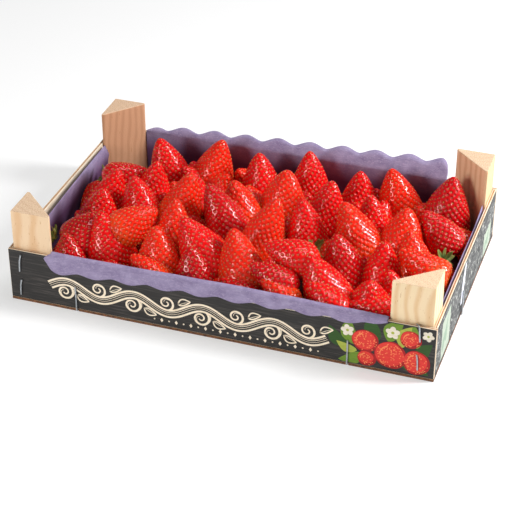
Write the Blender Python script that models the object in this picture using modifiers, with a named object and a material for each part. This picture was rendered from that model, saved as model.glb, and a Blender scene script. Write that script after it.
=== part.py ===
"""Wooden fruit tray, 400 by 250 mm, lined with purple paper and heaped with strawberries.

Frame: metres, +Z up, +X to the right and +Y to the back as seen from the long printed
front. The tray stands on z = 0 and the whole is centred on the origin in X and Y.
"""
import math
import random

import bmesh
import bpy
from mathutils import Matrix, Vector

MM = 0.001

# Tray, sizes in millimetres.
TRAY_X = 400.0
TRAY_Y = 250.0
BASE_T = 2.6
PLY_T = 3.6
WALL_TOP = 55.0
GAP = 0.3
SHIFT_Y = -2.67

# Corner posts: leg along X, leg along Y, top. Signs say which corner.
POSTS = {
    "post_front_left": (-1, -1, 37.7, 35.8, 93.5),
    "post_front_right": (1, -1, 38.1, 32.9, 93.5),
    "post_back_right": (1, 1, 36.6, 34.7, 93.5),
    "post_back_left": (-1, 1, 32.2, 36.5, 88.0),
}
POST_BLUNT = 2.6

# Paper liner.
PAPER_T = 0.5
FOLD_TOP = 58.4
FRONT_X = (-157.6, 157.2)
BACK_X = (-163.2, 151.0)
FLARE = 6.4
SIDE_FLAP_Y = 82.0
SCALLOP = 33.5
BACK_LEAN = 33.0

# Staples are round wire.
WIRE = 1.5

# Heap: the core's top, then each berry as tip x, y, z, bearing and angle of its lean
# from upright in degrees, length and width.
CORE_LOW = 26.0
CORE_RISE = 20.0
BERRIES = [
    (-134, 84, 72, -175, 15, 65, 42),
    (-70, 94, 76, 35, 15, 70, 47),
    (-127, 39, 60, 25, 80, 46, 33),
    (-116, 34, 76, 45, 10, 60, 39),
    (-148, 14, 72, 40, 20, 58, 40),
    (-125, -3, 78, 145, 10, 66, 45),
    (-146, -27, 74, 45, 15, 62, 46),
    (-131, -71, 76, 165, 15, 67, 50),
    (-131, -57, 68, 45, 50, 50, 42),
    (-155, -97, 64, 130, 10, 50, 36),
    (-83, -49, 76, 30, 60, 50, 38),
    (-68, -39, 84, 90, 10, 60, 40),
    (-72, 14, 82, 40, 20, 66, 44),
    (-50, -4, 84, 170, 25, 70, 43),
    (-34, 23, 76, 155, 15, 60, 46),
    (-52, -67, 84, 170, 30, 70, 48),
    (-74, -77, 76, 150, 10, 60, 45),
    (-35, -90, 70, 160, 10, 60, 44),
    (-4, -64, 80, 130, 30, 72, 48),
    (-88, -103, 58, 175, 50, 46, 31),
    (-2, -103, 50, -175, 60, 40, 28),
    (-29, 84, 74, 130, 5, 60, 42),
    (18, 100, 76, 110, 5, 65, 40),
    (12, 48, 82, 65, 10, 66, 48),
    (74, 85, 72, 60, 5, 60, 42),
    (102, 92, 76, 180, 15, 66, 45),
    (165, 86, 82, 45, 8, 67, 50),
    (58, 42, 82, 60, 10, 66, 44),
    (98, 32, 80, 145, 10, 60, 40),
    (80, 2, 86, 160, 25, 67, 46),
    (138, 17, 82, 60, 15, 62, 48),
    (151, 23, 78, 175, 40, 50, 38),
    (42, -2, 84, 155, 10, 65, 42),
    (22, -12, 86, 45, 20, 70, 45),
    (148, -16, 80, 125, 15, 54, 42),
    (29, -75, 76, -175, 70, 52, 35),
    (87, -44, 80, 160, 10, 62, 44),
    (130, -35, 76, 85, 10, 60, 42),
    (145, -42, 74, 180, 60, 54, 35),
    (72, -81, 78, 165, 30, 67, 46),
    (22, -95, 66, 180, 65, 48, 31),
    (37, -104, 60, 175, 50, 42, 30),
    (79, -102, 63, 175, 50, 46, 34),
    (132, -93, 70, -85, 5, 53, 43),
    (116, -105, 51, -170, 80, 48, 28),
    (143, -67, 68, 150, 10, 50, 33),
]
BERRY_SIDES = 12
BERRY_RINGS = 8

# Berries of the layer below, seen down the gaps.
FILL_PITCH_X = 16.0
FILL_PITCH_Y = 14.0
FILL_LENGTH = 44.0
FILL_WIDTH = 36.0
FILL_TOP = 51.0
FILL_EDGE_TOP = 44.0
FILL_SIDES = 8
FILL_RINGS = 6
SEED = 11

PLY_PALE = ("#D9C7AE", 0.75, 0.0)
PRINT_DARK = ("#2E2C2B", 0.6, 0.0)
PRINT_GREY = ("#5C5B5A", 0.65, 0.0)
PINE = ("#E6CDA8", 0.7, 0.0)
PAPER = ("#8E7FAE", 0.85, 0.0)
STEEL = ("#8C8F92", 0.35, 1.0)
FRUIT = ("#C8191B", 0.3, 0.0)


def clear_scene():
    for obj in list(bpy.data.objects):
        bpy.data.objects.remove(obj, do_unlink=True)


def linear(value):
    return value / 12.92 if value <= 0.04045 else ((value + 0.055) / 1.055) ** 2.4


def make_material(name, look):
    code, roughness, metallic = look
    rgb = [linear(int(code[i:i + 2], 16) / 255) for i in (1, 3, 5)]
    material = bpy.data.materials.new(name)
    material.use_nodes = True
    shader = material.node_tree.nodes["Principled BSDF"]
    shader.inputs["Base Color"].default_value = (*rgb, 1.0)
    shader.inputs["Roughness"].default_value = roughness
    shader.inputs["Metallic"].default_value = metallic
    return material


def make_collection(name, hidden=False):
    made = bpy.data.collections.new(name)
    bpy.context.scene.collection.children.link(made)
    made.hide_render = hidden
    return made


def add_object(name, mesh, collection, look=None):
    obj = bpy.data.objects.new(name, mesh)
    collection.objects.link(obj)
    if look:
        mesh.materials.clear()
        mesh.materials.append(make_material(name, look))
    return obj


def mesh_of(bm, name):
    bmesh.ops.recalc_face_normals(bm, faces=bm.faces)
    mesh = bpy.data.meshes.new(name)
    bm.to_mesh(mesh)
    bm.free()
    return mesh


def apply_modifiers(obj):
    """The evaluated mesh takes the place of the object's own, and its modifiers go."""
    graph = bpy.context.evaluated_depsgraph_get()
    mesh = bpy.data.meshes.new_from_object(obj.evaluated_get(graph), depsgraph=graph)
    obj.modifiers.clear()
    obj.data = mesh


def at(x, y, z):
    """A point given in tray millimetres, in the frame's metres."""
    return Vector((x * MM, (y + SHIFT_Y) * MM, z * MM))


def box_mesh(name, low, high):
    bm = bmesh.new()
    centre = (at(*low) + at(*high)) / 2
    size = at(*high) - at(*low)
    matrix = Matrix.Translation(centre) @ Matrix.Diagonal((*size, 1.0))
    bmesh.ops.create_cube(bm, size=1.0, matrix=matrix)
    return mesh_of(bm, name)


def board(name, low, high, collection, look, edge=0.4):
    obj = add_object(name, box_mesh(name, low, high), collection, look)
    bevel = obj.modifiers.new("worn_edges", "BEVEL")
    bevel.width = edge * MM
    bevel.segments = 1
    return obj


def prism_mesh(name, outline, bottom, top):
    """A closed prism on an outline of (x, y) in tray millimetres."""
    bm = bmesh.new()
    corners = [bm.verts.new(at(x, y, bottom)) for x, y in outline]
    face = bm.faces.new(corners)
    made = bmesh.ops.extrude_face_region(bm, geom=[face])
    for vert in made["geom"]:
        if isinstance(vert, bmesh.types.BMVert):
            vert.co.z = top * MM
    return mesh_of(bm, name)


def cut(obj, cutter, name):
    cutter.hide_render = True
    cutter.display_type = "WIRE"
    boolean = obj.modifiers.new(name, "BOOLEAN")
    boolean.operation = "DIFFERENCE"
    boolean.solver = "EXACT"
    boolean.object = cutter


def staple_spots():
    """Foot staples, which turn under the base: name, x, y and the outward direction."""
    half_x = TRAY_X / 2
    half_y = TRAY_Y / 2
    spots = []
    for end, way in (("front", -1), ("back", 1)):
        spots.append((f"staple_{end}_base_left", -134.5, way * half_y, (0, way)))
        spots.append((f"staple_{end}_base_right", 122.5, way * half_y, (0, way)))
    spots.append(("staple_right_base", half_x, -18.5, (1, 0)))
    spots.append(("staple_left_base", -half_x, 18.5, (-1, 0)))
    return spots


def build_boards(parts, cutters):
    half_x = TRAY_X / 2
    half_y = TRAY_Y / 2
    foot = BASE_T + GAP
    base = board("base_board", (-half_x, -half_y, 0), (half_x, half_y, BASE_T), parts, PLY_PALE)
    for name, x, y, way in staple_spots():
        across = (1.2, 6.7) if way[0] == 0 else (6.7, 1.2)
        low = (x - across[0], y - across[1], -1.0)
        high = (x + across[0], y + across[1], 2.1)
        slot = add_object(name + "_slot", box_mesh(name + "_slot", low, high), cutters)
        cut(base, slot, "leg_slot")
    end_y = half_y - PLY_T - GAP
    front = (-half_y, -half_y + PLY_T)
    back = (half_y - PLY_T, half_y)
    for name, span in (("front_panel", front), ("back_panel", back)):
        board(name, (-half_x, span[0], foot), (half_x, span[1], WALL_TOP), parts, PRINT_DARK)
    left = (-half_x, -half_x + PLY_T)
    right = (half_x - PLY_T, half_x)
    for name, span in (("left_panel", left), ("right_panel", right)):
        board(name, (span[0], -end_y, foot), (span[1], end_y, WALL_TOP), parts, PRINT_GREY)


def post_outline(sign_x, sign_y, leg_x, leg_y, clear=0.0):
    """Right-angled corner post seen from above, its two sharp corners blunted."""
    corner_x = TRAY_X / 2 - PLY_T - GAP
    corner_y = TRAY_Y / 2 - PLY_T - GAP
    local = [
        (-clear, -clear),
        (leg_x + clear, -clear),
        (leg_x + clear, POST_BLUNT + clear),
        (POST_BLUNT + clear, leg_y + clear),
        (-clear, leg_y + clear),
    ]
    return [(sign_x * (corner_x - x), sign_y * (corner_y - y)) for x, y in local]


def build_posts(parts):
    for name, (sign_x, sign_y, leg_x, leg_y, top) in POSTS.items():
        outline = post_outline(sign_x, sign_y, leg_x, leg_y)
        mesh = prism_mesh(name, outline, BASE_T + GAP, top)
        obj = add_object(name, mesh, parts, PINE)
        bevel = obj.modifiers.new("sawn_edges", "BEVEL")
        bevel.width = 0.5 * MM
        bevel.segments = 1


def scallop(x, depth=3.4):
    """Wavy cut of the long flaps' free edges, 0 in a hollow and 1 times depth on a lobe."""
    wave = 0.5 + 0.5 * math.cos(2 * math.pi * (x + 14.0) / SCALLOP)
    return depth * wave ** 0.8


def round_end(off, reach):
    """How far a free edge draws back, 0 to 1, at a distance off from the flap's end."""
    near = min(1.0, max(0.0, 1.0 - off / reach))
    return 1.0 - math.sqrt(max(0.0, 1.0 - near * near))


def front_rows(x):
    """The front flap's section at x, from the base up, over the wall and down outside.

    Outside it flares to a round end on the left and tapers to a point on the right.
    """
    inner = -(TRAY_Y / 2 - PLY_T - 0.8)
    outer = -(TRAY_Y / 2 + 0.7)
    share = (x + 156.0) / 312.0
    hang = 15.0 - 10.5 * min(1.0, share * 1.35) + 1.2 * math.sin(x / 60.0)
    hang = (hang + scallop(x)) * (1.0 - 0.45 * round_end(x - FRONT_X[0], 11.0))
    hang *= 1.0 - 0.92 * min(1.0, max(0.0, (x - 128.0) / 29.2)) ** 1.6
    crest = FOLD_TOP + 0.7 * math.sin(x / 47.0 + 1.0)
    low = WALL_TOP - 0.5 - hang
    out = FLARE * max(0.0, (-136.0 - x) / 21.6) ** 2
    return [
        (x, inner, WALL_TOP - 4.0),
        (x, inner - 0.4, crest - 0.8),
        (x, inner - 1.6, crest),
        (x, outer + 1.2, crest - 0.6),
        (x - out * 0.5, outer, crest - 2.4),
        (x - out, outer, (crest + low) / 2),
        (x - out * 0.4, outer + 0.1, low),
    ]


def back_rows(x):
    """The back flap's section at x: up to its crease at the wall's top, then leaning out."""
    inner = TRAY_Y / 2 - PLY_T - 0.8
    crease = WALL_TOP + 1.4
    share = max(0.0, (x + 156.0) / 312.0)
    end = min(x - BACK_X[0], BACK_X[1] - x)
    height = 2.5 + 13.75 * min(1.0, share / 0.95) ** 0.85 + scallop(x + 9.0, 5.0)
    height *= 1.0 - 0.6 * round_end(end, 8.0)
    height *= min(1.0, 0.25 + (x - BACK_X[0]) / 22.0)
    lean = math.radians(BACK_LEAN)
    free = (x, inner + height * math.sin(lean), crease + height * math.cos(lean))
    return [(x, inner, WALL_TOP - 4.0), (x, inner, crease), free]


def side_rows(y, sign):
    """A short flap's section at y: it leans into the box and stays under the wall's top."""
    outer = TRAY_X / 2 - PLY_T - 0.8
    share = (y + SIDE_FLAP_Y) / (2 * SIDE_FLAP_Y)
    if sign < 0:
        fold = max(0.0, (share - 0.45) / 0.55)
        lean = 5.0 + 1.5 * share
        outward = 4.2 * fold
        top = 47.5 + 6.0 * share + 1.5 * math.sin(math.pi * share)
        top += 1.2 * (lean - outward - 1.6)
        knee = top - 8.0 * fold - 0.8
        return [
            (sign * (outer - lean), knee),
            (sign * (outer - lean + outward), top),
        ]
    top = 54.4 + 0.8 * math.sin(5.0 * share) + 5.0 * max(0.0, (share - 0.8) / 0.2)
    return [(sign * (outer - 0.6), top - 9.0), (sign * (outer - 1.4), top)]


def spread(low, high, count):
    return [low + (high - low) * i / (count - 1) for i in range(count)]


def build_liner(parts):
    """Paper base with four flaps. The corners are cut out to clear the posts."""
    bm = bmesh.new()
    floor = BASE_T + 0.6
    edge_x = TRAY_X / 2 - PLY_T - 0.8
    edge_y = TRAY_Y / 2 - PLY_T - 0.8
    fronts = spread(*FRONT_X, 49)
    backs = spread(*BACK_X, 50)
    ys = spread(-SIDE_FLAP_Y, SIDE_FLAP_Y, 13)
    front_foot = [bm.verts.new(at(x, -edge_y, floor)) for x in fronts]
    back_foot = [bm.verts.new(at(x, edge_y, floor)) for x in backs]
    left_foot = [bm.verts.new(at(-edge_x, y, floor)) for y in ys]
    right_foot = [bm.verts.new(at(edge_x, y, floor)) for y in ys]
    inner = {}
    for sign_y, ends in ((-1, FRONT_X), (1, BACK_X)):
        for sign_x, x in ((-1, ends[0]), (1, ends[1])):
            corner = at(x, sign_y * SIDE_FLAP_Y, floor)
            inner[sign_x, sign_y] = bm.verts.new(corner)
    loop = list(front_foot)
    loop.append(inner[1, -1])
    loop.extend(right_foot)
    loop.append(inner[1, 1])
    loop.extend(reversed(back_foot))
    loop.append(inner[-1, 1])
    loop.extend(reversed(left_foot))
    loop.append(inner[-1, -1])
    bm.faces.new(loop)

    def grow(foot, places, section, point):
        before = foot
        for step in range(len(section(places[0]))):
            row = [bm.verts.new(point(place, section(place)[step])) for place in places]
            for i in range(len(row) - 1):
                bm.faces.new((before[i], before[i + 1], row[i + 1], row[i]))
            before = row

    grow(front_foot, fronts, front_rows, lambda x, spot: at(*spot))
    grow(back_foot, backs, back_rows, lambda x, spot: at(*spot))
    grow(left_foot, ys, lambda y: side_rows(y, -1), lambda y, xz: at(xz[0], y, xz[1]))
    grow(right_foot, ys, lambda y: side_rows(y, 1), lambda y, xz: at(xz[0], y, xz[1]))
    obj = add_object("liner", mesh_of(bm, "liner"), parts, PAPER)
    solid = obj.modifiers.new("paper", "SOLIDIFY")
    solid.thickness = PAPER_T * MM
    solid.offset = 0.0
    solid.use_even_offset = True
    return obj


def wire_mesh(name, path, sides=6):
    """Round wire along a path of points in tray millimetres."""
    curve = bpy.data.curves.new(name, "CURVE")
    curve.dimensions = "3D"
    curve.bevel_depth = WIRE * MM / 2
    curve.bevel_resolution = (sides - 4) // 2
    curve.use_fill_caps = True
    spline = curve.splines.new("POLY")
    spline.points.add(len(path) - 1)
    for point, place in zip(spline.points, path):
        point.co = (*at(*place), 1.0)
    holder = bpy.data.objects.new(name, curve)
    bpy.context.scene.collection.objects.link(holder)
    graph = bpy.context.evaluated_depsgraph_get()
    mesh = bpy.data.meshes.new_from_object(holder.evaluated_get(graph), depsgraph=graph)
    bpy.data.objects.remove(holder, do_unlink=True)
    bm = bmesh.new()
    bm.from_mesh(mesh)
    bmesh.ops.remove_doubles(bm, verts=bm.verts, dist=0.00001)
    bpy.data.meshes.remove(mesh)
    return mesh_of(bm, name)


def out_from(x, y, way, off, side, z):
    """A point off a wall's outer face: off is how far out, side is how far along it."""
    along = (-way[1], way[0])
    return (x + way[0] * off + along[0] * side, y + way[1] * off + along[1] * side, z)


def foot_staple(x, y, way):
    """From the wall's face down and under the base, in the slot there."""
    proud = GAP + WIRE / 2
    under = 0.35 + WIRE / 2
    return [
        out_from(x, y, way, proud, 0.0, 27.5),
        out_from(x, y, way, proud, 0.1, 14.0),
        out_from(x, y, way, proud, 0.0, 2.0),
        out_from(x, y, way, proud - 0.8, 0.0, under),
        out_from(x, y, way, -5.2, 0.0, under),
    ]


def crown_staple(x, y, way, top, bottom, sway):
    """Lies upright on the wall's face, a little bent."""
    proud = GAP + WIRE / 2
    middle = (top + bottom) / 2
    return [
        out_from(x, y, way, proud, -sway, top),
        out_from(x, y, way, proud + 0.1, sway * 0.6, middle + (top - middle) * 0.3),
        out_from(x, y, way, proud + 0.1, sway, middle - (top - middle) * 0.3),
        out_from(x, y, way, proud, sway * 1.4, bottom),
    ]


def hooked_staple(x, y, way, bottom):
    """Its upper leg is bent over the wall's top edge."""
    proud = GAP + WIRE / 2
    over = WALL_TOP + GAP + WIRE / 2
    return [
        out_from(x, y, way, -2.6, -3.4, over),
        out_from(x, y, way, -0.4, -1.0, over),
        out_from(x, y, way, proud, 0.0, over - 1.2),
        out_from(x, y, way, proud, 0.5, 48.0),
        out_from(x, y, way, proud, 1.0, bottom),
    ]


def build_staples(parts):
    for name, x, y, way in staple_spots():
        add_object(name, wire_mesh(name, foot_staple(x, y, way)), parts, STEEL)
    half_y = TRAY_Y / 2
    for end, sign in (("front", -1), ("back", 1)):
        y = sign * half_y
        way = (0, sign)
        left = crown_staple(-188.0, y, way, 51.0, 33.0, 1.0 * sign)
        add_object(f"staple_{end}_left_top", wire_mesh("wire", left), parts, STEEL)
        left = crown_staple(-189.0, y, way, 24.0, 7.5, 0.8 * sign)
        add_object(f"staple_{end}_left_low", wire_mesh("wire", left), parts, STEEL)
        right = hooked_staple(185.0, y, way, 40.5)
        add_object(f"staple_{end}_right_top", wire_mesh("wire", right), parts, STEEL)
        right = crown_staple(184.5, y, way, 26.5, 10.5, -0.6 * sign)
        add_object(f"staple_{end}_right_low", wire_mesh("wire", right), parts, STEEL)


def berry_radius(along, shoulder=0.72, blunt=0.7):
    """Radius over half the width, at a share of the length from the tip."""
    share = min(1.0, along / shoulder)
    cone = math.sqrt((share + blunt) ** 2 - blunt ** 2)
    cone /= math.sqrt((1.0 + blunt) ** 2 - blunt ** 2)
    cone *= 1.0 + 0.12 * math.sin(math.pi * share)
    beyond = max(0.0, (along - shoulder) / (1.0 - shoulder))
    return cone * (1.0 - 0.5 * beyond ** 2.4)


def berry_mesh(name, berry, sides, rings):
    """A sphere drawn out to a strawberry, its tip at (x, y, z)."""
    x, y, z, bearing, angle, length, width = berry
    bm = bmesh.new()
    bmesh.ops.create_uvsphere(bm, u_segments=sides, v_segments=rings, radius=1.0)
    for vert in bm.verts:
        along = math.acos(max(-1.0, min(1.0, vert.co.z))) / math.pi
        ring = math.hypot(vert.co.x, vert.co.y)
        radius = berry_radius(along) * width / 2 if ring > 1e-6 else 0.0
        scale = radius / ring if ring > 1e-6 else 0.0
        vert.co = Vector((vert.co.x * scale, vert.co.y * scale, -along * length)) * MM
    turn = Matrix.Rotation(math.radians(bearing), 4, "Z") @ Matrix.Rotation(math.radians(angle), 4, "Y")
    bm.transform(Matrix.Translation(at(x, y, z)) @ turn)
    return mesh_of(bm, name)


def middle(berry):
    """Where a berry's widest part is, seen from above."""
    x, y, _, bearing, angle, length, _ = berry
    reach = 0.55 * length * math.sin(math.radians(angle))
    turn = math.radians(bearing)
    return x - reach * math.cos(turn), y - reach * math.sin(turn)


def fill_berries():
    """Lower berries in the gaps that the listed ones leave, on a fine grid walked in order."""
    rng = random.Random(SEED)
    taken = [(*middle(berry), berry[6] / 2) for berry in BERRIES]
    found = []
    for row in range(-8, 9):
        for column in range(-12, 13):
            x = column * FILL_PITCH_X + (row % 2) * FILL_PITCH_X / 2
            y = row * FILL_PITCH_Y
            if abs(x) > 176 or abs(y) > 104 or abs(x) + abs(y) > 240:
                continue
            if any(math.hypot(x - a, y - b) < r for a, b, r in taken):
                continue
            taken.append((x, y, FILL_WIDTH / 2))
            by_wall = abs(x) > 140 or abs(y) > 75
            top = (FILL_EDGE_TOP if by_wall else FILL_TOP) + rng.uniform(-3.0, 3.0)
            lean = (rng.uniform(-180.0, 180.0), rng.uniform(10.0, 45.0))
            size = (FILL_LENGTH + rng.uniform(-3.0, 3.0), FILL_WIDTH + rng.uniform(-3.0, 3.0))
            found.append((x, y, top, *lean, *size))
    return found


def core_mesh():
    """The fruit lower down, as one low mound that fills the liner."""
    bm = bmesh.new()
    bmesh.ops.create_grid(bm, x_segments=14, y_segments=9, size=1.0)
    for vert in bm.verts:
        u, v = vert.co.x, vert.co.y
        height = CORE_LOW + CORE_RISE * (1.0 - u ** 4) * (1.0 - v ** 2)
        vert.co = at(u * 192.0, v * 118.6, height)
    made = bmesh.ops.extrude_face_region(bm, geom=list(bm.faces))
    for vert in made["geom"]:
        if isinstance(vert, bmesh.types.BMVert):
            vert.co.z = 4.0 * MM
    return mesh_of(bm, "core")


def room_outline(clear=0.4):
    """The box's inside seen from above, between the flaps and clear of the four posts."""
    side_y = 119.2
    corner_x = TRAY_X / 2 - PLY_T - GAP
    corner_y = TRAY_Y / 2 - PLY_T - GAP
    outline = []
    for name in ("post_front_left", "post_front_right", "post_back_right", "post_back_left"):
        sign_x, sign_y, leg_x, leg_y, _ = POSTS[name]
        run = math.hypot(leg_x, leg_y)
        grown_x = leg_x + POST_BLUNT + clear * run / leg_y
        grown_y = leg_y + POST_BLUNT + clear * run / leg_x
        side_x = 188.4 if sign_x < 0 else 191.4
        from_x = corner_x - side_x
        from_y = corner_y - side_y
        at_y = (sign_x * (corner_x - grown_x * (1 - from_y / grown_y)), sign_y * side_y)
        at_x = (sign_x * side_x, sign_y * (corner_y - grown_y * (1 - from_x / grown_x)))
        outline.extend([at_x, at_y] if sign_x * sign_y > 0 else [at_y, at_x])
    return outline


def drop_scrap(obj):
    """Keeps the largest body of a mesh and drops loose scraps."""
    bm = bmesh.new()
    bm.from_mesh(obj.data)
    left = set(bm.verts)
    groups = []
    while left:
        stack = [left.pop()]
        group = set(stack)
        while stack:
            for edge in stack.pop().link_edges:
                for vert in edge.verts:
                    if vert in left:
                        left.discard(vert)
                        group.add(vert)
                        stack.append(vert)
        groups.append(group)
    groups.sort(key=len, reverse=True)
    for group in groups[1:]:
        bmesh.ops.delete(bm, geom=list(group), context="VERTS")
    bm.to_mesh(obj.data)
    bm.free()


def build_heap(parts, cutters):
    berries = make_collection("berries_to_fuse", hidden=True)
    for index, berry in enumerate(BERRIES):
        name = f"berry_{index + 1:02d}"
        add_object(name, berry_mesh(name, berry, BERRY_SIDES, BERRY_RINGS), berries)
    for index, berry in enumerate(fill_berries()):
        name = f"lower_berry_{index + 1:02d}"
        add_object(name, berry_mesh(name, berry, FILL_SIDES, FILL_RINGS), berries)
    heap = add_object("strawberries", core_mesh(), parts, FRUIT)
    fuse = heap.modifiers.new("fuse", "BOOLEAN")
    fuse.operation = "UNION"
    fuse.operand_type = "COLLECTION"
    fuse.solver = "EXACT"
    fuse.collection = berries
    apply_modifiers(heap)
    for obj in list(berries.objects):
        bpy.data.objects.remove(obj, do_unlink=True)
    bpy.data.collections.remove(berries)
    room = add_object("room", prism_mesh("room", room_outline(), 4.0, 120.0), cutters)
    room.hide_render = True
    room.display_type = "WIRE"
    keep = heap.modifiers.new("keep_inside", "BOOLEAN")
    keep.operation = "INTERSECT"
    keep.solver = "EXACT"
    keep.object = room
    apply_modifiers(heap)
    drop_scrap(heap)
    heap.data.materials.clear()
    heap.data.materials.append(make_material("strawberries", FRUIT))


def main():
    clear_scene()
    parts = make_collection("strawberry_box")
    cutters = make_collection("cutters", hidden=True)
    build_boards(parts, cutters)
    build_posts(parts)
    build_liner(parts)
    build_staples(parts)
    build_heap(parts, cutters)


main()
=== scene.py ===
"""Box of strawberries: a wooden tray lined with purple paper and heaped with fruit.

The sizes below are in tray millimetres, with the tray's middle at x = y = 0 and its
underside at z = 0. The function at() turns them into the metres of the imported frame.
"""
import logging
import math
import random
from dataclasses import dataclass
from enum import Enum
from typing import Any, ClassVar, Iterable, Sequence

import bmesh
import bpy
import numpy as np
from mathutils import Matrix, Vector


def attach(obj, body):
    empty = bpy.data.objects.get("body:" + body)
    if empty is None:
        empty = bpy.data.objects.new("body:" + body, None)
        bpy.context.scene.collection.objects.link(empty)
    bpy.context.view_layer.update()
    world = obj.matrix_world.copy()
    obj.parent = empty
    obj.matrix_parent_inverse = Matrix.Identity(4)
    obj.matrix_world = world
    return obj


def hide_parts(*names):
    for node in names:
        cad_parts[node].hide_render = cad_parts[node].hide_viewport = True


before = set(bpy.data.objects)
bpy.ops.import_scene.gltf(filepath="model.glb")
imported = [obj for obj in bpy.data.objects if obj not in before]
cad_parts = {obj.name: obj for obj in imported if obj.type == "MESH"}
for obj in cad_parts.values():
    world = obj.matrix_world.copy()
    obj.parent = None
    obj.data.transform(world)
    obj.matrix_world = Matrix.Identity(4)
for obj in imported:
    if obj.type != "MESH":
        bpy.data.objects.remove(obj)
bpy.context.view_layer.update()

# The tray's sizes. The frame's middle lies SHIFT_Y from the tray's. Boards stand GAP
# apart, and the paper PAPER_GAP inside the walls.
MM = 0.001
SHIFT_Y = -2.67
TRAY_X = 400.0
TRAY_Y = 250.0
BASE_T = 2.6
PLY_T = 3.6
WALL_TOP = 55.0
GAP = 0.3
PAPER_GAP = 0.8
BODY = "root"
NOTES = logging.getLogger("strawberry_box")

# Short names for the types below. A seed's spot is its place, turn and size.
Mesh = bpy.types.Mesh
Piece = bpy.types.Object
Socket = bpy.types.NodeSocket
Tree = bpy.types.NodeTree
Size3 = tuple[float, float, float]
Span = tuple[float, float]
Ends = tuple[Any, Any]
Outline = list[tuple[float, float]]
SeedSpot = tuple[Vector, Matrix, float]
BerryMesh = tuple[np.ndarray, list[tuple[int, ...]], np.ndarray, np.ndarray, list[SeedSpot]]


def at(x: float, y: float, z: float) -> Vector:
    """Gives a tray point, in millimetres, in the frame's metres."""
    return Vector((x * MM, (y + SHIFT_Y) * MM, z * MM))


def linear(code: str) -> tuple[float, float, float, float]:
    """Turns an sRGB hex colour into linear red, green, blue and alpha.

    Args:
        code: The colour as "#RRGGBB".

    Returns:
        The linear colour, with alpha 1.
    """
    parts = [int(code[i:i + 2], 16) / 255.0 for i in (1, 3, 5)]
    rgb = [p / 12.92 if p <= 0.04045 else ((p + 0.055) / 1.055) ** 2.4 for p in parts]
    return (rgb[0], rgb[1], rgb[2], 1.0)


def per_mm(size: float) -> float:
    """Gives the noise scale whose grains are about size millimetres across."""
    return 1.0 / (size * MM)


def wave_per_mm(spacing: float) -> float:
    """Gives the wave texture scale whose lines stand spacing millimetres apart."""
    return 2.0 * math.pi / 20.0 / (spacing * MM)


def add_node(
    tree: Tree,
    kind: str,
    settings: dict[str, Any] | None = None,
    inputs: dict[str | int, Any] | None = None,
) -> bpy.types.Node:
    """Adds one node with its settings, values and links.

    Args:
        tree: The node tree that gets the node.
        kind: The node's type name.
        settings: Properties to set on the node.
        inputs: Values, hex colours or output sockets, by the input's name or number.

    Returns:
        The new node.
    """
    node = tree.nodes.new(kind)
    for key, value in (settings or {}).items():
        setattr(node, key, value)
    for key, value in (inputs or {}).items():
        if isinstance(value, Socket):
            tree.links.new(value, node.inputs[key])
        else:
            coded = isinstance(value, str) and value.startswith("#")
            node.inputs[key].default_value = linear(value) if coded else value
    return node


# Finishes.


COLOURS = {"data_type": "RGBA", "blend_type": "MIX"}
UNSTRETCHED = (1.0, 1.0, 1.0)


@dataclass(frozen=True)
class Finish:
    """A surface finish that becomes one material.

    Its even values are the same all over the surface. Its relief is in millimetres.
    """

    title: str
    even: ClassVar[dict[str, Any]] = {}
    relief: ClassVar[float] = 0.0

    def material(self) -> bpy.types.Material:
        """Makes the material, or gives it back if it was made before.

        Returns:
            The material.
        """
        found = bpy.data.materials.get(self.title)
        if found is not None:
            return found
        made = bpy.data.materials.new(self.title)
        made.use_nodes = True
        tree = made.node_tree
        shader = tree.nodes["Principled BSDF"]
        for name, value in self.even.items():
            shader.inputs[name].default_value = value
        links = self.paint(tree, add_node(tree, "ShaderNodeTexCoord").outputs["Object"])
        if self.relief:
            rise = {"Height": links.pop("Height"), "Distance": self.relief * MM, "Strength": 1.0}
            links["Normal"] = add_node(tree, "ShaderNodeBump", None, rise).outputs["Normal"]
        for name, source in links.items():
            tree.links.new(source, shader.inputs[name])
        return made

    def paint(self, tree: Tree, spot: Socket) -> dict[str, Socket]:
        """Adds the finish's own pattern. Each kind of finish has its own.

        Args:
            tree: The material's tree.
            spot: The object coordinates.

        Returns:
            What each of the shader's sockets is linked to, and Height for the relief.
        """
        raise NotImplementedError

    def grain(
        self, tree: Tree, spot: Socket, size: float, stretch: Size3 = UNSTRETCHED, **noise: float
    ) -> Socket:
        """Gives noise that may be drawn out into grain.

        Args:
            tree: The material's tree.
            spot: The object coordinates.
            size: How wide its grains are, in millimetres.
            stretch: Scale on each axis. A small number draws the grains out that way.
            noise: The noise's detail, roughness and distortion.

        Returns:
            The noise, 0 to 1.
        """
        place = add_node(tree, "ShaderNodeMapping", None, {"Vector": spot, "Scale": stretch})
        inputs = {key.title(): value for key, value in noise.items()}
        inputs.update({"Vector": place.outputs["Vector"], "Scale": per_mm(size)})
        return add_node(tree, "ShaderNodeTexNoise", None, inputs).outputs["Fac"]

    def blend(self, tree: Tree, value: Socket, span: Span, ends: Ends) -> Socket:
        """Goes from one colour to another while a value passes over a span of numbers.

        Args:
            tree: The material's tree.
            value: The value.
            span: Where the first colour ends and where the second is whole.
            ends: The two colours, as hex codes or sockets.

        Returns:
            The colour.
        """
        rise = {"Value": value, "From Min": span[0], "From Max": span[1]}
        share = add_node(tree, "ShaderNodeMapRange", None, rise).outputs["Result"]
        return add_node(tree, "ShaderNodeMix", COLOURS, {0: share, 6: ends[0], 7: ends[1]}).outputs[2]

    def away(self, tree: Tree, value: Socket, middle: float) -> Socket:
        """Gives how far a value is from a middle one, either way."""
        off = add_node(tree, "ShaderNodeMath", {"operation": "SUBTRACT"}, {0: value, 1: middle})
        return add_node(tree, "ShaderNodeMath", {"operation": "ABSOLUTE"}, {0: off.outputs[0]}).outputs[0]


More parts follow.
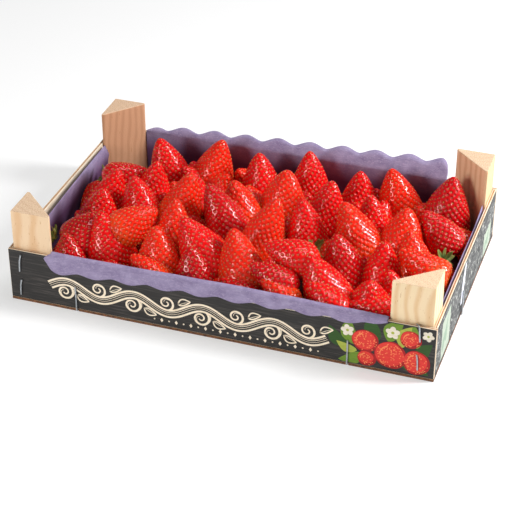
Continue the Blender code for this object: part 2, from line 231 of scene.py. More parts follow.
@dataclass(frozen=True)
class StrawberrySkin(Finish):
    """Ripe strawberry skin: thin, waxy and wet-looking over translucent flesh.

    The flesh lets red light through, so the shaded side stays warm. The waxy ridges
    between the seeds shine as small rings, and the pits round the seeds are duller.
    A pit goes from its edge to its floor, in millimetres from the seed. Its floor is painted
    darker as shade, as near the pit colour as pit_depth says, and rough is the skin's
    roughness and the pit's.
    """

    ripe: str
    pit: str
    pale: str
    pit_edge: float = 1.85
    pit_floor: float = 0.8
    pit_depth: float = 0.62
    rough: Span = (0.13, 0.5)
    relief: ClassVar[float] = 0.5
    even: ClassVar[dict[str, Any]] = {
        "IOR": 1.5,
        "Specular IOR Level": 0.5,
        "Subsurface Weight": 0.05,
        "Subsurface Radius": (1.0, 0.18, 0.1),
        "Subsurface Scale": 0.002,
    }

    def paint(self, tree: Tree, spot: Socket) -> dict[str, Socket]:
        """Paints ripe flesh, painted shade in the pits, and a paler shoulder and blotches.

        Args:
            tree: The material's tree.
            spot: The object coordinates.

        Returns:
            What the shader's sockets are linked to, and the relief's height.
        """
        apart = add_node(tree, "ShaderNodeAttribute", {"attribute_name": "from_seed"}).outputs["Fac"]
        along = add_node(tree, "ShaderNodeAttribute", {"attribute_name": "along"}).outputs["Fac"]
        pit = add_node(
            tree, "ShaderNodeMapRange", {"interpolation_type": "SMOOTHSTEP"},
            {"Value": apart, "From Min": self.pit_edge, "From Max": self.pit_floor},
        ).outputs["Result"]
        blotch = self.grain(tree, spot, 24.0, detail=3.0)
        reach = add_node(tree, "ShaderNodeMath", {"operation": "MULTIPLY_ADD"}, {0: blotch, 1: 0.9, 2: along})
        flesh = self.blend(tree, reach.outputs[0], (0.9, 1.7), (self.ripe, self.pale))
        # Painted shade: each pit darkens towards its floor.
        sunk = add_node(tree, "ShaderNodeMath", {"operation": "MULTIPLY"}, {0: pit, 1: self.pit_depth})
        colour = add_node(tree, "ShaderNodeMix", COLOURS, {0: sunk.outputs[0], 6: flesh, 7: self.pit})
        height = add_node(tree, "ShaderNodeMath", {"operation": "SUBTRACT"}, {0: 1.0, 1: pit})
        low, high = self.rough
        rough = add_node(
            tree, "ShaderNodeMapRange", None,
            {"Value": pit, "From Min": 0.2, "From Max": 0.7, "To Min": low, "To Max": high},
        )
        return {
            "Base Color": colour.outputs[2],
            "Height": height.outputs[0],
            "Roughness": rough.outputs["Result"],
        }


@dataclass(frozen=True)
class AcheneHusk(Finish):
    """Dry seed husks: hard, smooth and straw-coloured, some greener or rusty."""

    straw: str = "#F4C458"
    rust: str = "#C4552A"
    even: ClassVar[dict[str, Any]] = {"Roughness": 0.35, "Coat Weight": 0.3}

    def paint(self, tree: Tree, spot: Socket) -> dict[str, Socket]:
        """Varies the husk's colour from seed to seed."""
        noise = self.grain(tree, spot, 5.0)
        return {"Base Color": self.blend(tree, noise, (0.42, 0.72), (self.straw, self.rust))}


@dataclass(frozen=True)
class SepalLeaf(Finish):
    """Strawberry sepals: matt, hairy green leaf, paler and yellower at the edges."""

    green: str = "#4C6426"
    yellow: str = "#93893C"
    relief: ClassVar[float] = 0.25
    even: ClassVar[dict[str, Any]] = {"Roughness": 0.7, "Subsurface Weight": 0.1, "Subsurface Scale": 0.001}

    def paint(self, tree: Tree, spot: Socket) -> dict[str, Socket]:
        """Mottles two greens with fine veins.

        Args:
            tree: The material's tree.
            spot: The object coordinates.

        Returns:
            What the shader's sockets are linked to, and the relief's height.
        """
        patch = self.grain(tree, spot, 6.0, detail=4.0)
        colour = self.blend(tree, patch, (0.35, 0.7), (self.green, self.yellow))
        return {"Base Color": colour, "Height": self.grain(tree, spot, 1.2, detail=3.0)}


@dataclass(frozen=True)
class ShadePaintedFruit(Finish):
    """The fruit under the top layers, seen only down the gaps: its near-black red is painted shade."""

    dark: str = "#120102"
    red: str = "#42060A"
    relief: ClassVar[float] = 1.0
    even: ClassVar[dict[str, Any]] = {"Roughness": 0.8, "Specular IOR Level": 0.15}

    def paint(self, tree: Tree, spot: Socket) -> dict[str, Socket]:
        """Mottles the painted shade's dark reds in patches smaller than a berry."""
        patch = self.grain(tree, spot, 14.0, detail=4.0)
        return {"Base Color": self.blend(tree, patch, (0.3, 0.75), (self.dark, self.red)), "Height": patch}


@dataclass(frozen=True)
class LinerPaper(Finish):
    """Dyed machine-glazed tissue board: soft, matt and fibrous, cloudy where pulp is thick.

    Cloudy patches about 10 mm across and loose fibres about 1 mm wide show in its dye.
    Inside the box it is painted deeper and redder towards the bottom, as shade and as the
    red light that the fruit throws back. This painted shade starts and is whole at two
    heights, and lies behind the fold over the wall.
    """

    light: str = "#9C90B0"
    deep: str = "#817496"
    pale: str = "#B2A7C2"
    painted_shade: str = "#5E3F62"
    painted_shade_z: Span = (57.5, 36.0)
    painted_shade_y: Span = (-126.5, -123.5)
    relief: ClassVar[float] = 0.22
    even: ClassVar[dict[str, Any]] = {"Roughness": 0.92, "Specular IOR Level": 0.25}

    def paint(self, tree: Tree, spot: Socket) -> dict[str, Socket]:
        """Clouds the dye, adds fibres across the sheet and paints shade on the lower inside.

        Args:
            tree: The material's tree.
            spot: The object coordinates.

        Returns:
            What the shader's sockets are linked to, and the relief's height.
        """
        cloud = self.grain(tree, spot, 9.0, detail=6.0)
        base = self.blend(tree, cloud, (0.3, 0.7), (self.deep, self.light))
        fibre = self.grain(tree, spot, 1.1, (0.3, 1.0, 1.0), detail=5.0, distortion=1.5)
        unshaded = self.blend(tree, fibre, (0.5, 0.8), (base, self.pale))
        # Painted shade: deeper and redder towards the bottom inside the box, behind the fold.
        axes = add_node(tree, "ShaderNodeSeparateXYZ", None, {"Vector": spot}).outputs
        shares = [
            add_node(
                tree, "ShaderNodeMapRange", None,
                {"Value": axes[axis], "From Min": span[0] * MM, "From Max": span[1] * MM},
            ).outputs["Result"]
            for axis, span in (("Z", self.painted_shade_z), ("Y", self.painted_shade_y))
        ]
        both = add_node(tree, "ShaderNodeMath", {"operation": "MULTIPLY"}, {0: shares[0], 1: shares[1]})
        colour = add_node(tree, "ShaderNodeMix", COLOURS, {0: both.outputs[0], 6: unshaded, 7: self.painted_shade})
        return {"Base Color": colour.outputs[2], "Height": fibre}


@dataclass(frozen=True)
class RawPly(Finish):
    """Poplar plywood, rotary-peeled and knife-cut: pale matt veneer with soft grain.

    Its edges show a tan cross-laid core between two pale skins. The axis number says
    which way is through the sheet, and inner and outer are its two faces in millimetres.
    A mottled print has a plain rim, which lies so far above and below rim_middle.
    """

    axis: int = 1
    outer: float = 0.0
    inner: float = 1.0
    print_dark: str = ""
    print_light: str = ""
    mottled: bool = False
    rim_middle: float = 28.5
    rim: Span = (22.5, 23.5)
    relief: ClassVar[float] = 0.12
    even: ClassVar[dict[str, Any]] = {"Roughness": 0.62, "Specular IOR Level": 0.35}

    def paint(self, tree: Tree, spot: Socket) -> dict[str, Socket]:
        """Lays the veneer, the core seen at the edges, and the print on the outer face.

        Args:
            tree: The material's tree.
            spot: The object coordinates.

        Returns:
            What the shader's sockets are linked to, and the relief's height.
        """
        grain_way = (0.06, 1.0, 1.0) if self.axis != 0 else (1.0, 0.06, 1.0)
        grain = self.grain(tree, spot, 1.6, grain_way, detail=6.0, roughness=0.6)
        veneer = self.blend(tree, grain, (0.3, 0.72), ("#F3E8D5", "#CDB594"))
        speck = self.grain(tree, spot, 1.3, detail=3.0)
        core = self.blend(tree, speck, (0.35, 0.7), ("#C08A5C", "#7E4C2E"))
        axes = add_node(tree, "ShaderNodeSeparateXYZ", None, {"Vector": spot}).outputs
        through = add_node(
            tree, "ShaderNodeMapRange", None,
            {"Value": axes[self.axis], "From Min": self.outer * MM, "From Max": self.inner * MM},
        ).outputs["Result"]
        colour = self.blend(tree, self.away(tree, through, 0.5), (0.2, 0.12), (veneer, core))
        if self.print_dark:
            ink = self.printed(tree, spot, grain)
            colour = self.blend(tree, through, (0.05, 0.02), (colour, ink))
        return {"Base Color": colour, "Height": grain}

    def printed(self, tree: Tree, spot: Socket, grain: Socket) -> Socket:
        """Paints flexo ink that sinks into the grain, so fine pale lines show in it.

        A mottled face has clouds and chips of two greys inside a plain dark rim.

        Args:
            tree: The material's tree.
            spot: The object coordinates.
            grain: The wood's grain.

        Returns:
            The ink's colour.
        """
        shades = (self.print_dark, self.print_light)
        if not self.mottled:
            return self.blend(tree, grain, (0.5, 0.86), shades)
        ink = self.blend(tree, grain, (0.42, 0.66), shades)
        patch = self.grain(tree, spot, 9.0, detail=8.0, roughness=0.7, distortion=0.6)
        cloud = self.blend(tree, patch, (0.42, 0.56), ("#2C2D2E", ink))
        chips = self.grain(tree, spot, 4.2, detail=3.0, roughness=0.6)
        body = self.blend(tree, chips, (0.56, 0.64), (cloud, "#B9BAB5"))
        height = add_node(tree, "ShaderNodeSeparateXYZ", None, {"Vector": spot}).outputs["Z"]
        from_middle = self.away(tree, height, self.rim_middle * MM)
        rim = (self.rim[0] * MM, self.rim[1] * MM)
        return self.blend(tree, from_middle, rim, (body, "#2B2B2C"))


@dataclass(frozen=True)
class BaseEdge(Finish):
    """The base's veneer: pale faces, and crushed reddish brown edges stained with ink."""

    relief: ClassVar[float] = 0.3
    even: ClassVar[dict[str, Any]] = {"Roughness": 0.75, "Specular IOR Level": 0.3}

    def paint(self, tree: Tree, spot: Socket) -> dict[str, Socket]:
        """Paints the pale sheet, and its dark, rough edges by their distance out.

        Args:
            tree: The material's tree.
            spot: The object coordinates.

        Returns:
            What the shader's sockets are linked to, and the relief's height.
        """
        grain = self.grain(tree, spot, 1.6, (0.06, 1.0, 1.0), detail=6.0)
        colour = self.blend(tree, grain, (0.3, 0.72), ("#EADBC2", "#C3A880"))
        torn = self.grain(tree, spot, 1.5, (0.4, 0.4, 1.5), detail=5.0, roughness=0.7)
        stain = self.blend(tree, torn, (0.4, 0.62), ("#3A2C24", "#9A6744"))
        axes = add_node(tree, "ShaderNodeSeparateXYZ", None, {"Vector": spot}).outputs
        for axis, middle, half in (("X", 0.0, TRAY_X / 2), ("Y", SHIFT_Y, TRAY_Y / 2)):
            out = self.away(tree, axes[axis], middle * MM)
            colour = self.blend(tree, out, ((half - 0.8) * MM, (half - 0.3) * MM), (colour, stain))
        return {"Base Color": colour, "Height": torn}


@dataclass(frozen=True)
class SawnPine(Finish):
    """Band-sawn pine: pale early wood, darker late-wood lines, rough matt sawn faces.

    The year rings stand about 7 mm apart round a pith outside the post, so they run as
    arcs over the sawn end and as wandering upright figure down the sides. The sawn end
    is darker and fuzzy, because its open pores stand end on.
    """

    pith: tuple[float, float] = (0.0, 0.0)
    top: float = 93.5
    early: str = "#F4DDB8"
    late: str = "#E2B988"
    tint: str = "#F2D6AC"
    end_light: str = "#F7E8D4"
    end_dark: str = "#C8AA8A"
    rings: float = 7.0
    relief: ClassVar[float] = 0.3
    even: ClassVar[dict[str, Any]] = {"Roughness": 0.78, "Specular IOR Level": 0.25}

    def paint(self, tree: Tree, spot: Socket) -> dict[str, Socket]:
        """Cuts the posts out of a log of year rings.

        Args:
            tree: The material's tree.
            spot: The object coordinates.

        Returns:
            What the shader's sockets are linked to, and the relief's height.
        """
        moved = add_node(
            tree, "ShaderNodeMapping", None,
            {"Vector": spot, "Location": tuple(-at(*self.pith, 0.0)), "Rotation": (0.03, -0.04, 0.0)},
        )
        ring = add_node(
            tree, "ShaderNodeTexWave",
            {"wave_type": "RINGS", "rings_direction": "Z", "wave_profile": "SIN"},
            {
                "Vector": moved.outputs["Vector"], "Scale": wave_per_mm(self.rings), "Distortion": 6.0,
                "Detail": 2.0, "Detail Scale": 0.35, "Detail Roughness": 0.6,
            },
        )
        wood = self.blend(tree, ring.outputs["Fac"], (0.3, 1.15), (self.early, self.late))
        fibre = self.grain(tree, spot, 0.9, (1.0, 1.0, 0.05), detail=5.0)
        wood = self.blend(tree, fibre, (0.0, 1.0 / 0.55), (wood, self.tint))
        pore = self.grain(tree, spot, 0.8, (1.0, 1.0, 0.12))
        wood = self.blend(tree, pore, (0.68, 0.76), (wood, "#B98450"))
        fuzz = self.grain(tree, spot, 1.1, detail=5.0, roughness=0.7)
        end = self.blend(tree, fuzz, (0.35, 0.68), (self.end_light, self.end_dark))
        shaded = {"data_type": "RGBA", "blend_type": "MULTIPLY"}
        end = add_node(tree, "ShaderNodeMix", shaded, {0: 0.45, 6: end, 7: wood}).outputs[2]
        height = add_node(tree, "ShaderNodeSeparateXYZ", None, {"Vector": spot}).outputs["Z"]
        sawn = ((self.top - 0.45) * MM, (self.top - 0.2) * MM)
        return {
            "Base Color": self.blend(tree, height, sawn, (wood, end)),
            "Height": self.grain(tree, spot, 0.7, (1.0, 1.0, 0.4), detail=4.0),
        }


@dataclass(frozen=True)
class StapleWire(Finish):
    """Galvanised drawn steel wire: grey, half-bright, with a cloudy zinc skin."""

    zinc: str = "#C6CACE"
    even: ClassVar[dict[str, Any]] = {"Metallic": 1.0}

    def paint(self, tree: Tree, spot: Socket) -> dict[str, Socket]:
        """Clouds the zinc and its roughness.

        Args:
            tree: The material's tree.
            spot: The object coordinates.

        Returns:
            What the shader's sockets are linked to.
        """
        cloud = self.grain(tree, spot, 2.0, detail=4.0)
        rough = add_node(tree, "ShaderNodeMapRange", None, {"Value": cloud, "To Min": 0.28, "To Max": 0.46})
        colour = self.blend(tree, cloud, (0.3, 0.75), ("#9A9EA3", self.zinc))
        return {"Base Color": colour, "Roughness": rough.outputs["Result"]}


@dataclass(frozen=True)
class PrintInk(Finish):
    """Flexo printing ink on veneer: matt and slightly broken where the grain is open."""

    colour: str
    worn: str
    even: ClassVar[dict[str, Any]] = {"Roughness": 0.6, "Specular IOR Level": 0.3}

    def paint(self, tree: Tree, spot: Socket) -> dict[str, Socket]:
        """Breaks the ink up along the grain."""
        grain = self.grain(tree, spot, 1.0, (0.15, 0.15, 1.0), detail=4.0)
        return {"Base Color": self.blend(tree, grain, (0.45, 0.8), (self.colour, self.worn))}


@dataclass(frozen=True)
class StudioFloor(Finish):
    """Matt white paper sweep, with a little light of its own so that it reads as white."""

    even: ClassVar[dict[str, Any]] = {
        "Roughness": 1.0,
        "Specular IOR Level": 0.0,
        "Emission Color": linear("#FFFFFF"),
        "Emission Strength": 0.45,
    }

    def paint(self, tree: Tree, spot: Socket) -> dict[str, Socket]:
        """Gives the sweep a barely uneven white."""
        cloud = self.grain(tree, spot, 1250.0)
        return {"Base Color": self.blend(tree, cloud, (0.0, 1.0), ("#C8C8C8", "#CCCCCC"))}


# Making meshes and pieces.


def add_piece(name: str, mesh: Mesh, finish: Finish) -> Piece:
    """Links a mesh as a piece of the object and gives it its finish.

    Args:
        name: The piece's name.
        mesh: Its mesh, already in place.
        finish: What it is finished with.

    Returns:
        The piece.
    """
    piece = bpy.data.objects.new(name, mesh)
    bpy.context.scene.collection.objects.link(piece)
    mesh.materials.clear()
    mesh.materials.append(finish.material())
    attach(piece, BODY)
    return piece


def mesh_from(
    name: str, points: np.ndarray, faces: Sequence[Sequence[int]] | np.ndarray, smooth: bool = True
) -> Mesh:
    """Makes a mesh from points in metres and faces.

    Args:
        name: The mesh's name.
        points: One row of x, y and z for each point.
        faces: Point numbers of each face.
        smooth: Whether its faces are shaded smooth.

    Returns:
        The mesh.
    """
    mesh = bpy.data.meshes.new(name)
    mesh.from_pydata([tuple(p) for p in points], [], [tuple(int(i) for i in f) for f in faces])
    mesh.polygons.foreach_set("use_smooth", [smooth] * len(mesh.polygons))
    mesh.update()
    return mesh


def grown(name: str, points: Mesh, tree: Tree, sizes: dict[str, float]) -> Mesh:
    """Runs a Geometry Nodes tree over some points and gives its result as a plain mesh.

    Args:
        name: Name of the result.
        points: A mesh of points, with the attributes that the tree reads.
        tree: The tree.
        sizes: Values of its inputs, by name.

    Returns:
        The plain mesh.
    """
    holder = bpy.data.objects.new(name + "_points", points)
    bpy.context.scene.collection.objects.link(holder)
    grow = holder.modifiers.new("grow", "NODES")
    grow.node_group = tree
    sockets = [item for item in tree.interface.items_tree if item.item_type == "SOCKET"]
    names = {item.name: item.identifier for item in sockets if item.in_out == "INPUT"}
    for key, value in sizes.items():
        grow[names[key]] = value
    graph = bpy.context.evaluated_depsgraph_get()
    mesh = bpy.data.meshes.new_from_object(holder.evaluated_get(graph), depsgraph=graph)
    bpy.data.objects.remove(holder, do_unlink=True)
    mesh.name = name
    return mesh


def start_tree(name: str, sizes: Iterable[str]) -> tuple[Tree, bpy.types.Node]:
    """Starts a Geometry Nodes tree with a geometry input and named sizes.

    Args:
        name: The tree's name.
        sizes: Names of its inputs, all lengths in metres.

    Returns:
        The tree and its input node.
    """
    tree = bpy.data.node_groups.new(name, "GeometryNodeTree")
    tree.interface.new_socket("Geometry", in_out="INPUT", socket_type="NodeSocketGeometry")
    for size in sizes:
        tree.interface.new_socket(size, in_out="INPUT", socket_type="NodeSocketFloat")
    tree.interface.new_socket("Geometry", in_out="OUTPUT", socket_type="NodeSocketGeometry")
    return tree, add_node(tree, "NodeGroupInput")


def end_tree(
    tree: Tree, given: bpy.types.Node, instance: Socket, finish: Finish, smooth: bool
) -> None:
    """Sets the shape on every point, turned as the point says, and ends the tree.

    Args:
        tree: The tree.
        given: Its input node, whose geometry is the points.
        instance: The shape to repeat.
        finish: Its finish.
        smooth: Whether it is shaded smooth.
    """
    turn = add_node(tree, "GeometryNodeInputNamedAttribute", {"data_type": "FLOAT_VECTOR"}, {"Name": "turn"})
    size = add_node(tree, "GeometryNodeInputNamedAttribute", {"data_type": "FLOAT"}, {"Name": "size"})
    spread = add_node(
        tree, "GeometryNodeInstanceOnPoints", None,
        {
            "Points": given.outputs["Geometry"], "Instance": instance,
            "Rotation": turn.outputs["Attribute"], "Scale": size.outputs["Attribute"],
        },
    )
    real = add_node(tree, "GeometryNodeRealizeInstances", None, {"Geometry": spread.outputs["Instances"]})
    shade = add_node(
        tree, "GeometryNodeSetShadeSmooth", None,
        {"Geometry": real.outputs["Geometry"], "Shade Smooth": smooth},
    )
    dress = add_node(
        tree, "GeometryNodeSetMaterial", None,
        {"Geometry": shade.outputs["Geometry"], "Material": finish.material()},
    )
    add_node(tree, "NodeGroupOutput", None, {"Geometry": dress.outputs["Geometry"]})


def point_mesh(name: str, spots: Sequence[SeedSpot]) -> Mesh:
    """Makes loose points that carry a turn and a size for each.

    Args:
        name: The mesh's name.
        spots: Each point's place in metres, its turn and its size.

    Returns:
        The mesh of points.
    """
    mesh = bpy.data.meshes.new(name)
    mesh.from_pydata([tuple(spot[0]) for spot in spots], [], [])
    turn = mesh.attributes.new("turn", "FLOAT_VECTOR", "POINT")
    turn.data.foreach_set("vector", [v for spot in spots for v in spot[1].to_euler()])
    size = mesh.attributes.new("size", "FLOAT", "POINT")
    size.data.foreach_set("value", [spot[2] for spot in spots])
    return mesh


def smooth_path(points: Sequence[Sequence[float]], steps: int = 6) -> np.ndarray:
    """Runs a smooth curve through some points.

    Args:
        points: The points it goes through, in two or three dimensions.
        steps: How many steps between two of them.

    Returns:
        Points along the curve.
    """
    knots = np.asarray(points, float)
    knots = np.vstack([2 * knots[0] - knots[1], knots, 2 * knots[-1] - knots[-2]])
    found = []
    for i in range(1, len(knots) - 2):
        before, start, end, after = knots[i - 1:i + 3]
        for t in np.arange(steps) / steps:
            found.append(
                0.5 * (
                    2 * start + (end - before) * t
                    + (2 * before - 5 * start + 4 * end - after) * t ** 2
                    + (3 * start - before - 3 * end + after) * t ** 3
                )
            )
    found.append(knots[-2])
    return np.array(found)


# The fruit.


class Tone(Enum):
    """How ripe a berry looks."""

    BRIGHT = "bright"
    ORANGE = "orange"
    DEEP = "deep"


# Each skin's second colour is the painted shade in its pits.
SKINS = {
    Tone.BRIGHT: StrawberrySkin("strawberry_skin_bright", "#DE0808", "#A00206", "#E61E0C"),
    Tone.ORANGE: StrawberrySkin("strawberry_skin_orange", "#E62208", "#B40E04", "#EC5614"),
    Tone.DEEP: StrawberrySkin("strawberry_skin_deep", "#C4040A", "#7E0206", "#CE0E10"),
}


@dataclass(frozen=True)
class Berry:
    """One strawberry: its tip, its lean's bearing and angle in degrees, length and width.

    A larger blunt makes a rounder tip.
    """

    x: float
    y: float
    z: float
    bearing: float
    lean: float
    length: float
    width: float
    tone: Tone = Tone.BRIGHT
    blunt: float = 0.9

    def turn(self) -> Matrix:
        """Gives the turn from an upright berry to this one."""
        bearing = Matrix.Rotation(math.radians(self.bearing), 3, "Z")
        return bearing @ Matrix.Rotation(math.radians(self.lean), 3, "Y")

    def middle(self) -> tuple[float, float]:
        """Gives where its widest part is, seen from above.

        Returns:
            Its x and y, in tray millimetres.
        """
        reach = 0.55 * self.length * math.sin(math.radians(self.lean))
        turn = math.radians(self.bearing)
        return self.x - reach * math.cos(turn), self.y - reach * math.sin(turn)


def listed_berries() -> list[Berry]:
    """Gives the top layer's berries, back left to front right.

    Returns:
        The berries.
    """
    b, o, d = Tone.BRIGHT, Tone.ORANGE, Tone.DEEP
    return [
        Berry(-134, 84, 72, -175, 15, 65, 42),
        Berry(-70, 94, 76, 35, 15, 70, 47, o),
        Berry(-127, 39, 60, 25, 80, 46, 33, d),
        Berry(-116, 34, 76, 45, 10, 60, 39, b, 0.6),
        Berry(-148, 14, 72, 40, 20, 58, 40, b, 0.7),
        Berry(-125, -3, 78, 145, 10, 66, 45, b, 1.0),
        Berry(-146, -27, 74, 45, 15, 62, 46, b, 0.7),
        Berry(-131, -71, 76, 165, 15, 67, 50, b, 1.0),
        Berry(-131, -57, 68, 45, 50, 50, 42, d, 0.8),
        Berry(-155, -97, 64, 130, 10, 50, 36, d, 0.7),
        Berry(-83, -49, 76, 30, 60, 50, 38, o),
        Berry(-68, -39, 84, 90, 10, 60, 40, o),
        Berry(-72, 14, 82, 40, 20, 66, 44, o),
        Berry(-50, -4, 84, 170, 25, 70, 43, d),
        Berry(-34, 23, 76, 155, 15, 60, 46, o, 1.0),
        Berry(-52, -67, 84, 170, 30, 70, 48, b, 0.6),
        Berry(-74, -77, 76, 150, 10, 60, 45, o, 1.6),
        Berry(-35, -90, 70, 160, 10, 60, 44, d),
        Berry(-4, -64, 80, 130, 30, 72, 48, o, 1.4),
        Berry(-88, -103, 58, 175, 50, 46, 31, o),
        Berry(-2, -103, 50, -175, 60, 40, 28),
        Berry(-29, 84, 74, 130, 5, 60, 42),
        Berry(18, 100, 76, 110, 5, 65, 40),
        Berry(12, 48, 82, 65, 10, 66, 48, o, 2.5),
        Berry(74, 85, 72, 60, 5, 60, 42),
        Berry(102, 92, 76, 180, 15, 66, 45, o),
        Berry(165, 86, 82, 45, 8, 67, 50, d),
        Berry(58, 42, 82, 60, 10, 66, 44),
        Berry(98, 32, 80, 145, 10, 60, 40),
        Berry(80, 2, 86, 160, 25, 67, 46, o),
        Berry(138, 17, 82, 60, 15, 62, 48, o, 1.4),
        Berry(151, 23, 78, 175, 40, 50, 38, d, 0.8),
        Berry(42, -2, 84, 155, 10, 65, 42),
        Berry(22, -12, 86, 45, 20, 70, 45, o),
        Berry(148, -16, 80, 125, 15, 54, 42, o, 0.7),
        Berry(29, -75, 76, -175, 70, 52, 35, b, 0.8),
        Berry(87, -44, 80, 160, 10, 62, 44, d),
        Berry(130, -35, 76, 85, 10, 60, 42, b, 0.8),
        Berry(145, -42, 74, 180, 60, 54, 35, o, 0.8),
        Berry(72, -81, 78, 165, 30, 67, 46),
        Berry(22, -95, 66, 180, 65, 48, 31, d),
        Berry(37, -104, 60, 175, 50, 42, 30, o),
        Berry(79, -102, 63, 175, 50, 46, 34, b, 0.7),
        Berry(132, -93, 70, -85, 5, 53, 43, b, 2.0),
        Berry(116, -105, 51, -170, 80, 48, 28, b, 1.0),
        Berry(143, -67, 68, 150, 10, 50, 33),
    ]


# Each corner post: its corner's signs, and its legs along x and y. Their thin ends are
# cut off blunt.
POST_BLUNT = 2.6
POST_LEGS = (
    (-1, -1, 37.7, 35.8),
    (1, -1, 38.1, 32.9),
    (1, 1, 36.6, 34.7),
    (-1, 1, 32.2, 36.5),
)


@dataclass
class Heap:
    """The strawberries: a top layer set tips up, a lower layer in its gaps, and a core.

    Sizes are in millimetres. A berry is widest at the named share of its length, and
    lower berries stand on a staggered grid wherever the top layer leaves room. Fruit goes
    as far as inside says: right, left, and to the front and back. Lower berries go as far
    as lower_reach says in x, in y and in both together, and lie lower beyond lower_edge.
    """

    rings: int = 72
    sides: int = 144
    low_rings: int = 34
    low_sides: int = 68
    seed_gap: float = 4.7
    pit_depth: float = 0.5
    pit_reach: float = 2.3
    seed_long: float = 1.25
    seed_wide: float = 0.75
    seed_thick: float = 0.65
    floor: float = 4.2
    core_low: float = 14.0
    core_rise: float = 8.0
    core_lump: float = 2.5
    core_half: Span = (190.0, 118.0)
    inside: Size3 = (191.2, 188.2, 119.0)
    off_post: float = 0.5
    widest: float = 0.72
    lower_x: float = 16.0
    lower_y: float = 14.0
    lower_apart: float = 18.0
    lower_top: float = 51.0
    lower_edge_top: float = 44.0
    lower_length: float = 44.0
    lower_width: float = 36.0
    lower_reach: Size3 = (176.0, 104.0, 240.0)
    lower_edge: Span = (140.0, 75.0)
    lower_lean: Span = (10.0, 45.0)
    lower_vary: float = 3.0
    seeds_end: float = 0.955
    lowest_seed: float = 22.0
    seed: int = 11
    most_in_piece: int = 9

    def room(self) -> list[Size3]:
        """Gives the box's inside as half planes.

        Returns:
            Each plane's outward x and y, and how far out it lies in millimetres.
        """
        right, left, across = self.inside
        walls = [(1.0, 0.0, right), (-1.0, 0.0, left), (0.0, 1.0, across), (0.0, -1.0, across)]
        for sign_x, sign_y, leg_x, leg_y in POST_LEGS:
            tip_x = sign_x * (TRAY_X / 2 - PLY_T - GAP - leg_x - POST_BLUNT)
            tip_y = sign_y * (TRAY_Y / 2 - PLY_T - GAP - leg_y - POST_BLUNT)
            corner = (sign_x * (TRAY_X / 2 - PLY_T - GAP), sign_y * (TRAY_Y / 2 - PLY_T - GAP))
            along = Vector((corner[0] - tip_x, tip_y - corner[1]))
            out = Vector((sign_x * abs(along.y), sign_y * abs(along.x))).normalized()
            walls.append((out.x, out.y, out.x * tip_x + out.y * corner[1] - self.off_post))
        return walls

    def lower_berries(self) -> list[Berry]:
        """Gives the berries that show in the top layer's gaps, walked over a fixed grid.

        Returns:
            The berries.
        """
        rng = random.Random(self.seed)
        taken = [(*berry.middle(), berry.width / 2) for berry in listed_berries()]
        found = []
        far_x, far_y, corner = self.lower_reach
        edge_x, edge_y = self.lower_edge
        vary = (-self.lower_vary, self.lower_vary)
        for row in range(-8, 9):
            for column in range(-12, 13):
                x, y = (column + (row % 2) / 2) * self.lower_x, row * self.lower_y
                if abs(x) > far_x or abs(y) > far_y or abs(x) + abs(y) > corner:
                    continue
                if any(math.hypot(x - a, y - b) < r for a, b, r in taken):
                    continue
                taken.append((x, y, self.lower_apart))
                by_wall = abs(x) > edge_x or abs(y) > edge_y
                top = (self.lower_edge_top if by_wall else self.lower_top) + rng.uniform(*vary)
                bearing, lean = rng.uniform(-180.0, 180.0), rng.uniform(*self.lower_lean)
                length = self.lower_length + rng.uniform(*vary)
                width = self.lower_width + rng.uniform(*vary)
                tone = list(Tone)[len(found) % len(Tone)]
                found.append(Berry(x, y, top, bearing, lean, length, width, tone))
        return found

    def profile(self, along: np.ndarray, blunt: float) -> np.ndarray:
        """Gives how wide a berry is along its length.

        Args:
            along: Shares of its length from the tip.
            blunt: How round its tip is.

        Returns:
            Its radius at each, as a share of half its width.
        """
        share = np.minimum(1.0, along / self.widest)
        cone = np.sqrt(((share + blunt) ** 2 - blunt ** 2) / ((1 + blunt) ** 2 - blunt ** 2))
        beyond = np.maximum(0.0, (along - self.widest) / (1.0 - self.widest))
        return cone * (1.0 + 0.12 * np.sin(math.pi * share)) * (1.0 - 0.5 * beyond ** 2.4)

    def bare_grid(
        self, berry: Berry, rings: int, sides: int, rng: np.random.Generator
    ) -> tuple[np.ndarray, np.ndarray]:
        """Makes an upright berry without pits, as a grid of rings.

        Args:
            berry: The berry.
            rings: How many rings from the tip to the base.
            sides: How many points in each.
            rng: Where its own small lumps come from.

        Returns:
            The points, rings by sides, in millimetres from the tip, and each ring's
            share of the length.
        """
        along = (np.arange(1, rings + 1) / rings) ** 1.35
        turn = np.arange(sides) / sides * 2 * math.pi
        radius = self.profile(along, berry.blunt)[:, None] * berry.width / 2
        swell = np.sin(math.pi * np.minimum(1.0, along + 0.12)) ** 0.7
        phase = rng.uniform(0, 2 * math.pi, 4)
        lumps = 0.022 * np.cos(2 * turn + phase[0]) + 0.018 * np.cos(3 * turn + phase[1])
        lumps = lumps[None, :] + 0.014 * np.cos(5 * turn[None, :] + phase[2] + 4.0 * along[:, None])
        radius = radius * (1.0 + lumps * swell[:, None])
        bend = 0.03 * berry.width * np.sin(math.pi * along)
        x = radius * np.cos(turn)[None, :] + bend[:, None] * math.cos(phase[3])
        y = radius * np.sin(turn)[None, :] + bend[:, None] * math.sin(phase[3])
        z = np.repeat(-along[:, None] * berry.length, sides, axis=1)
        caps = []
        for shrink, lift in ((0.8, -0.2), (0.5, 0.6), (0.2, 1.6)):
            cap = np.stack([x[-1] * shrink, y[-1] * shrink, z[-1] + lift], axis=-1)
            caps.append(cap)
        points = np.concatenate([np.stack([x, y, z], axis=-1), np.array(caps)])
        return points, np.concatenate([along, [1.0, 1.0, 1.0]])

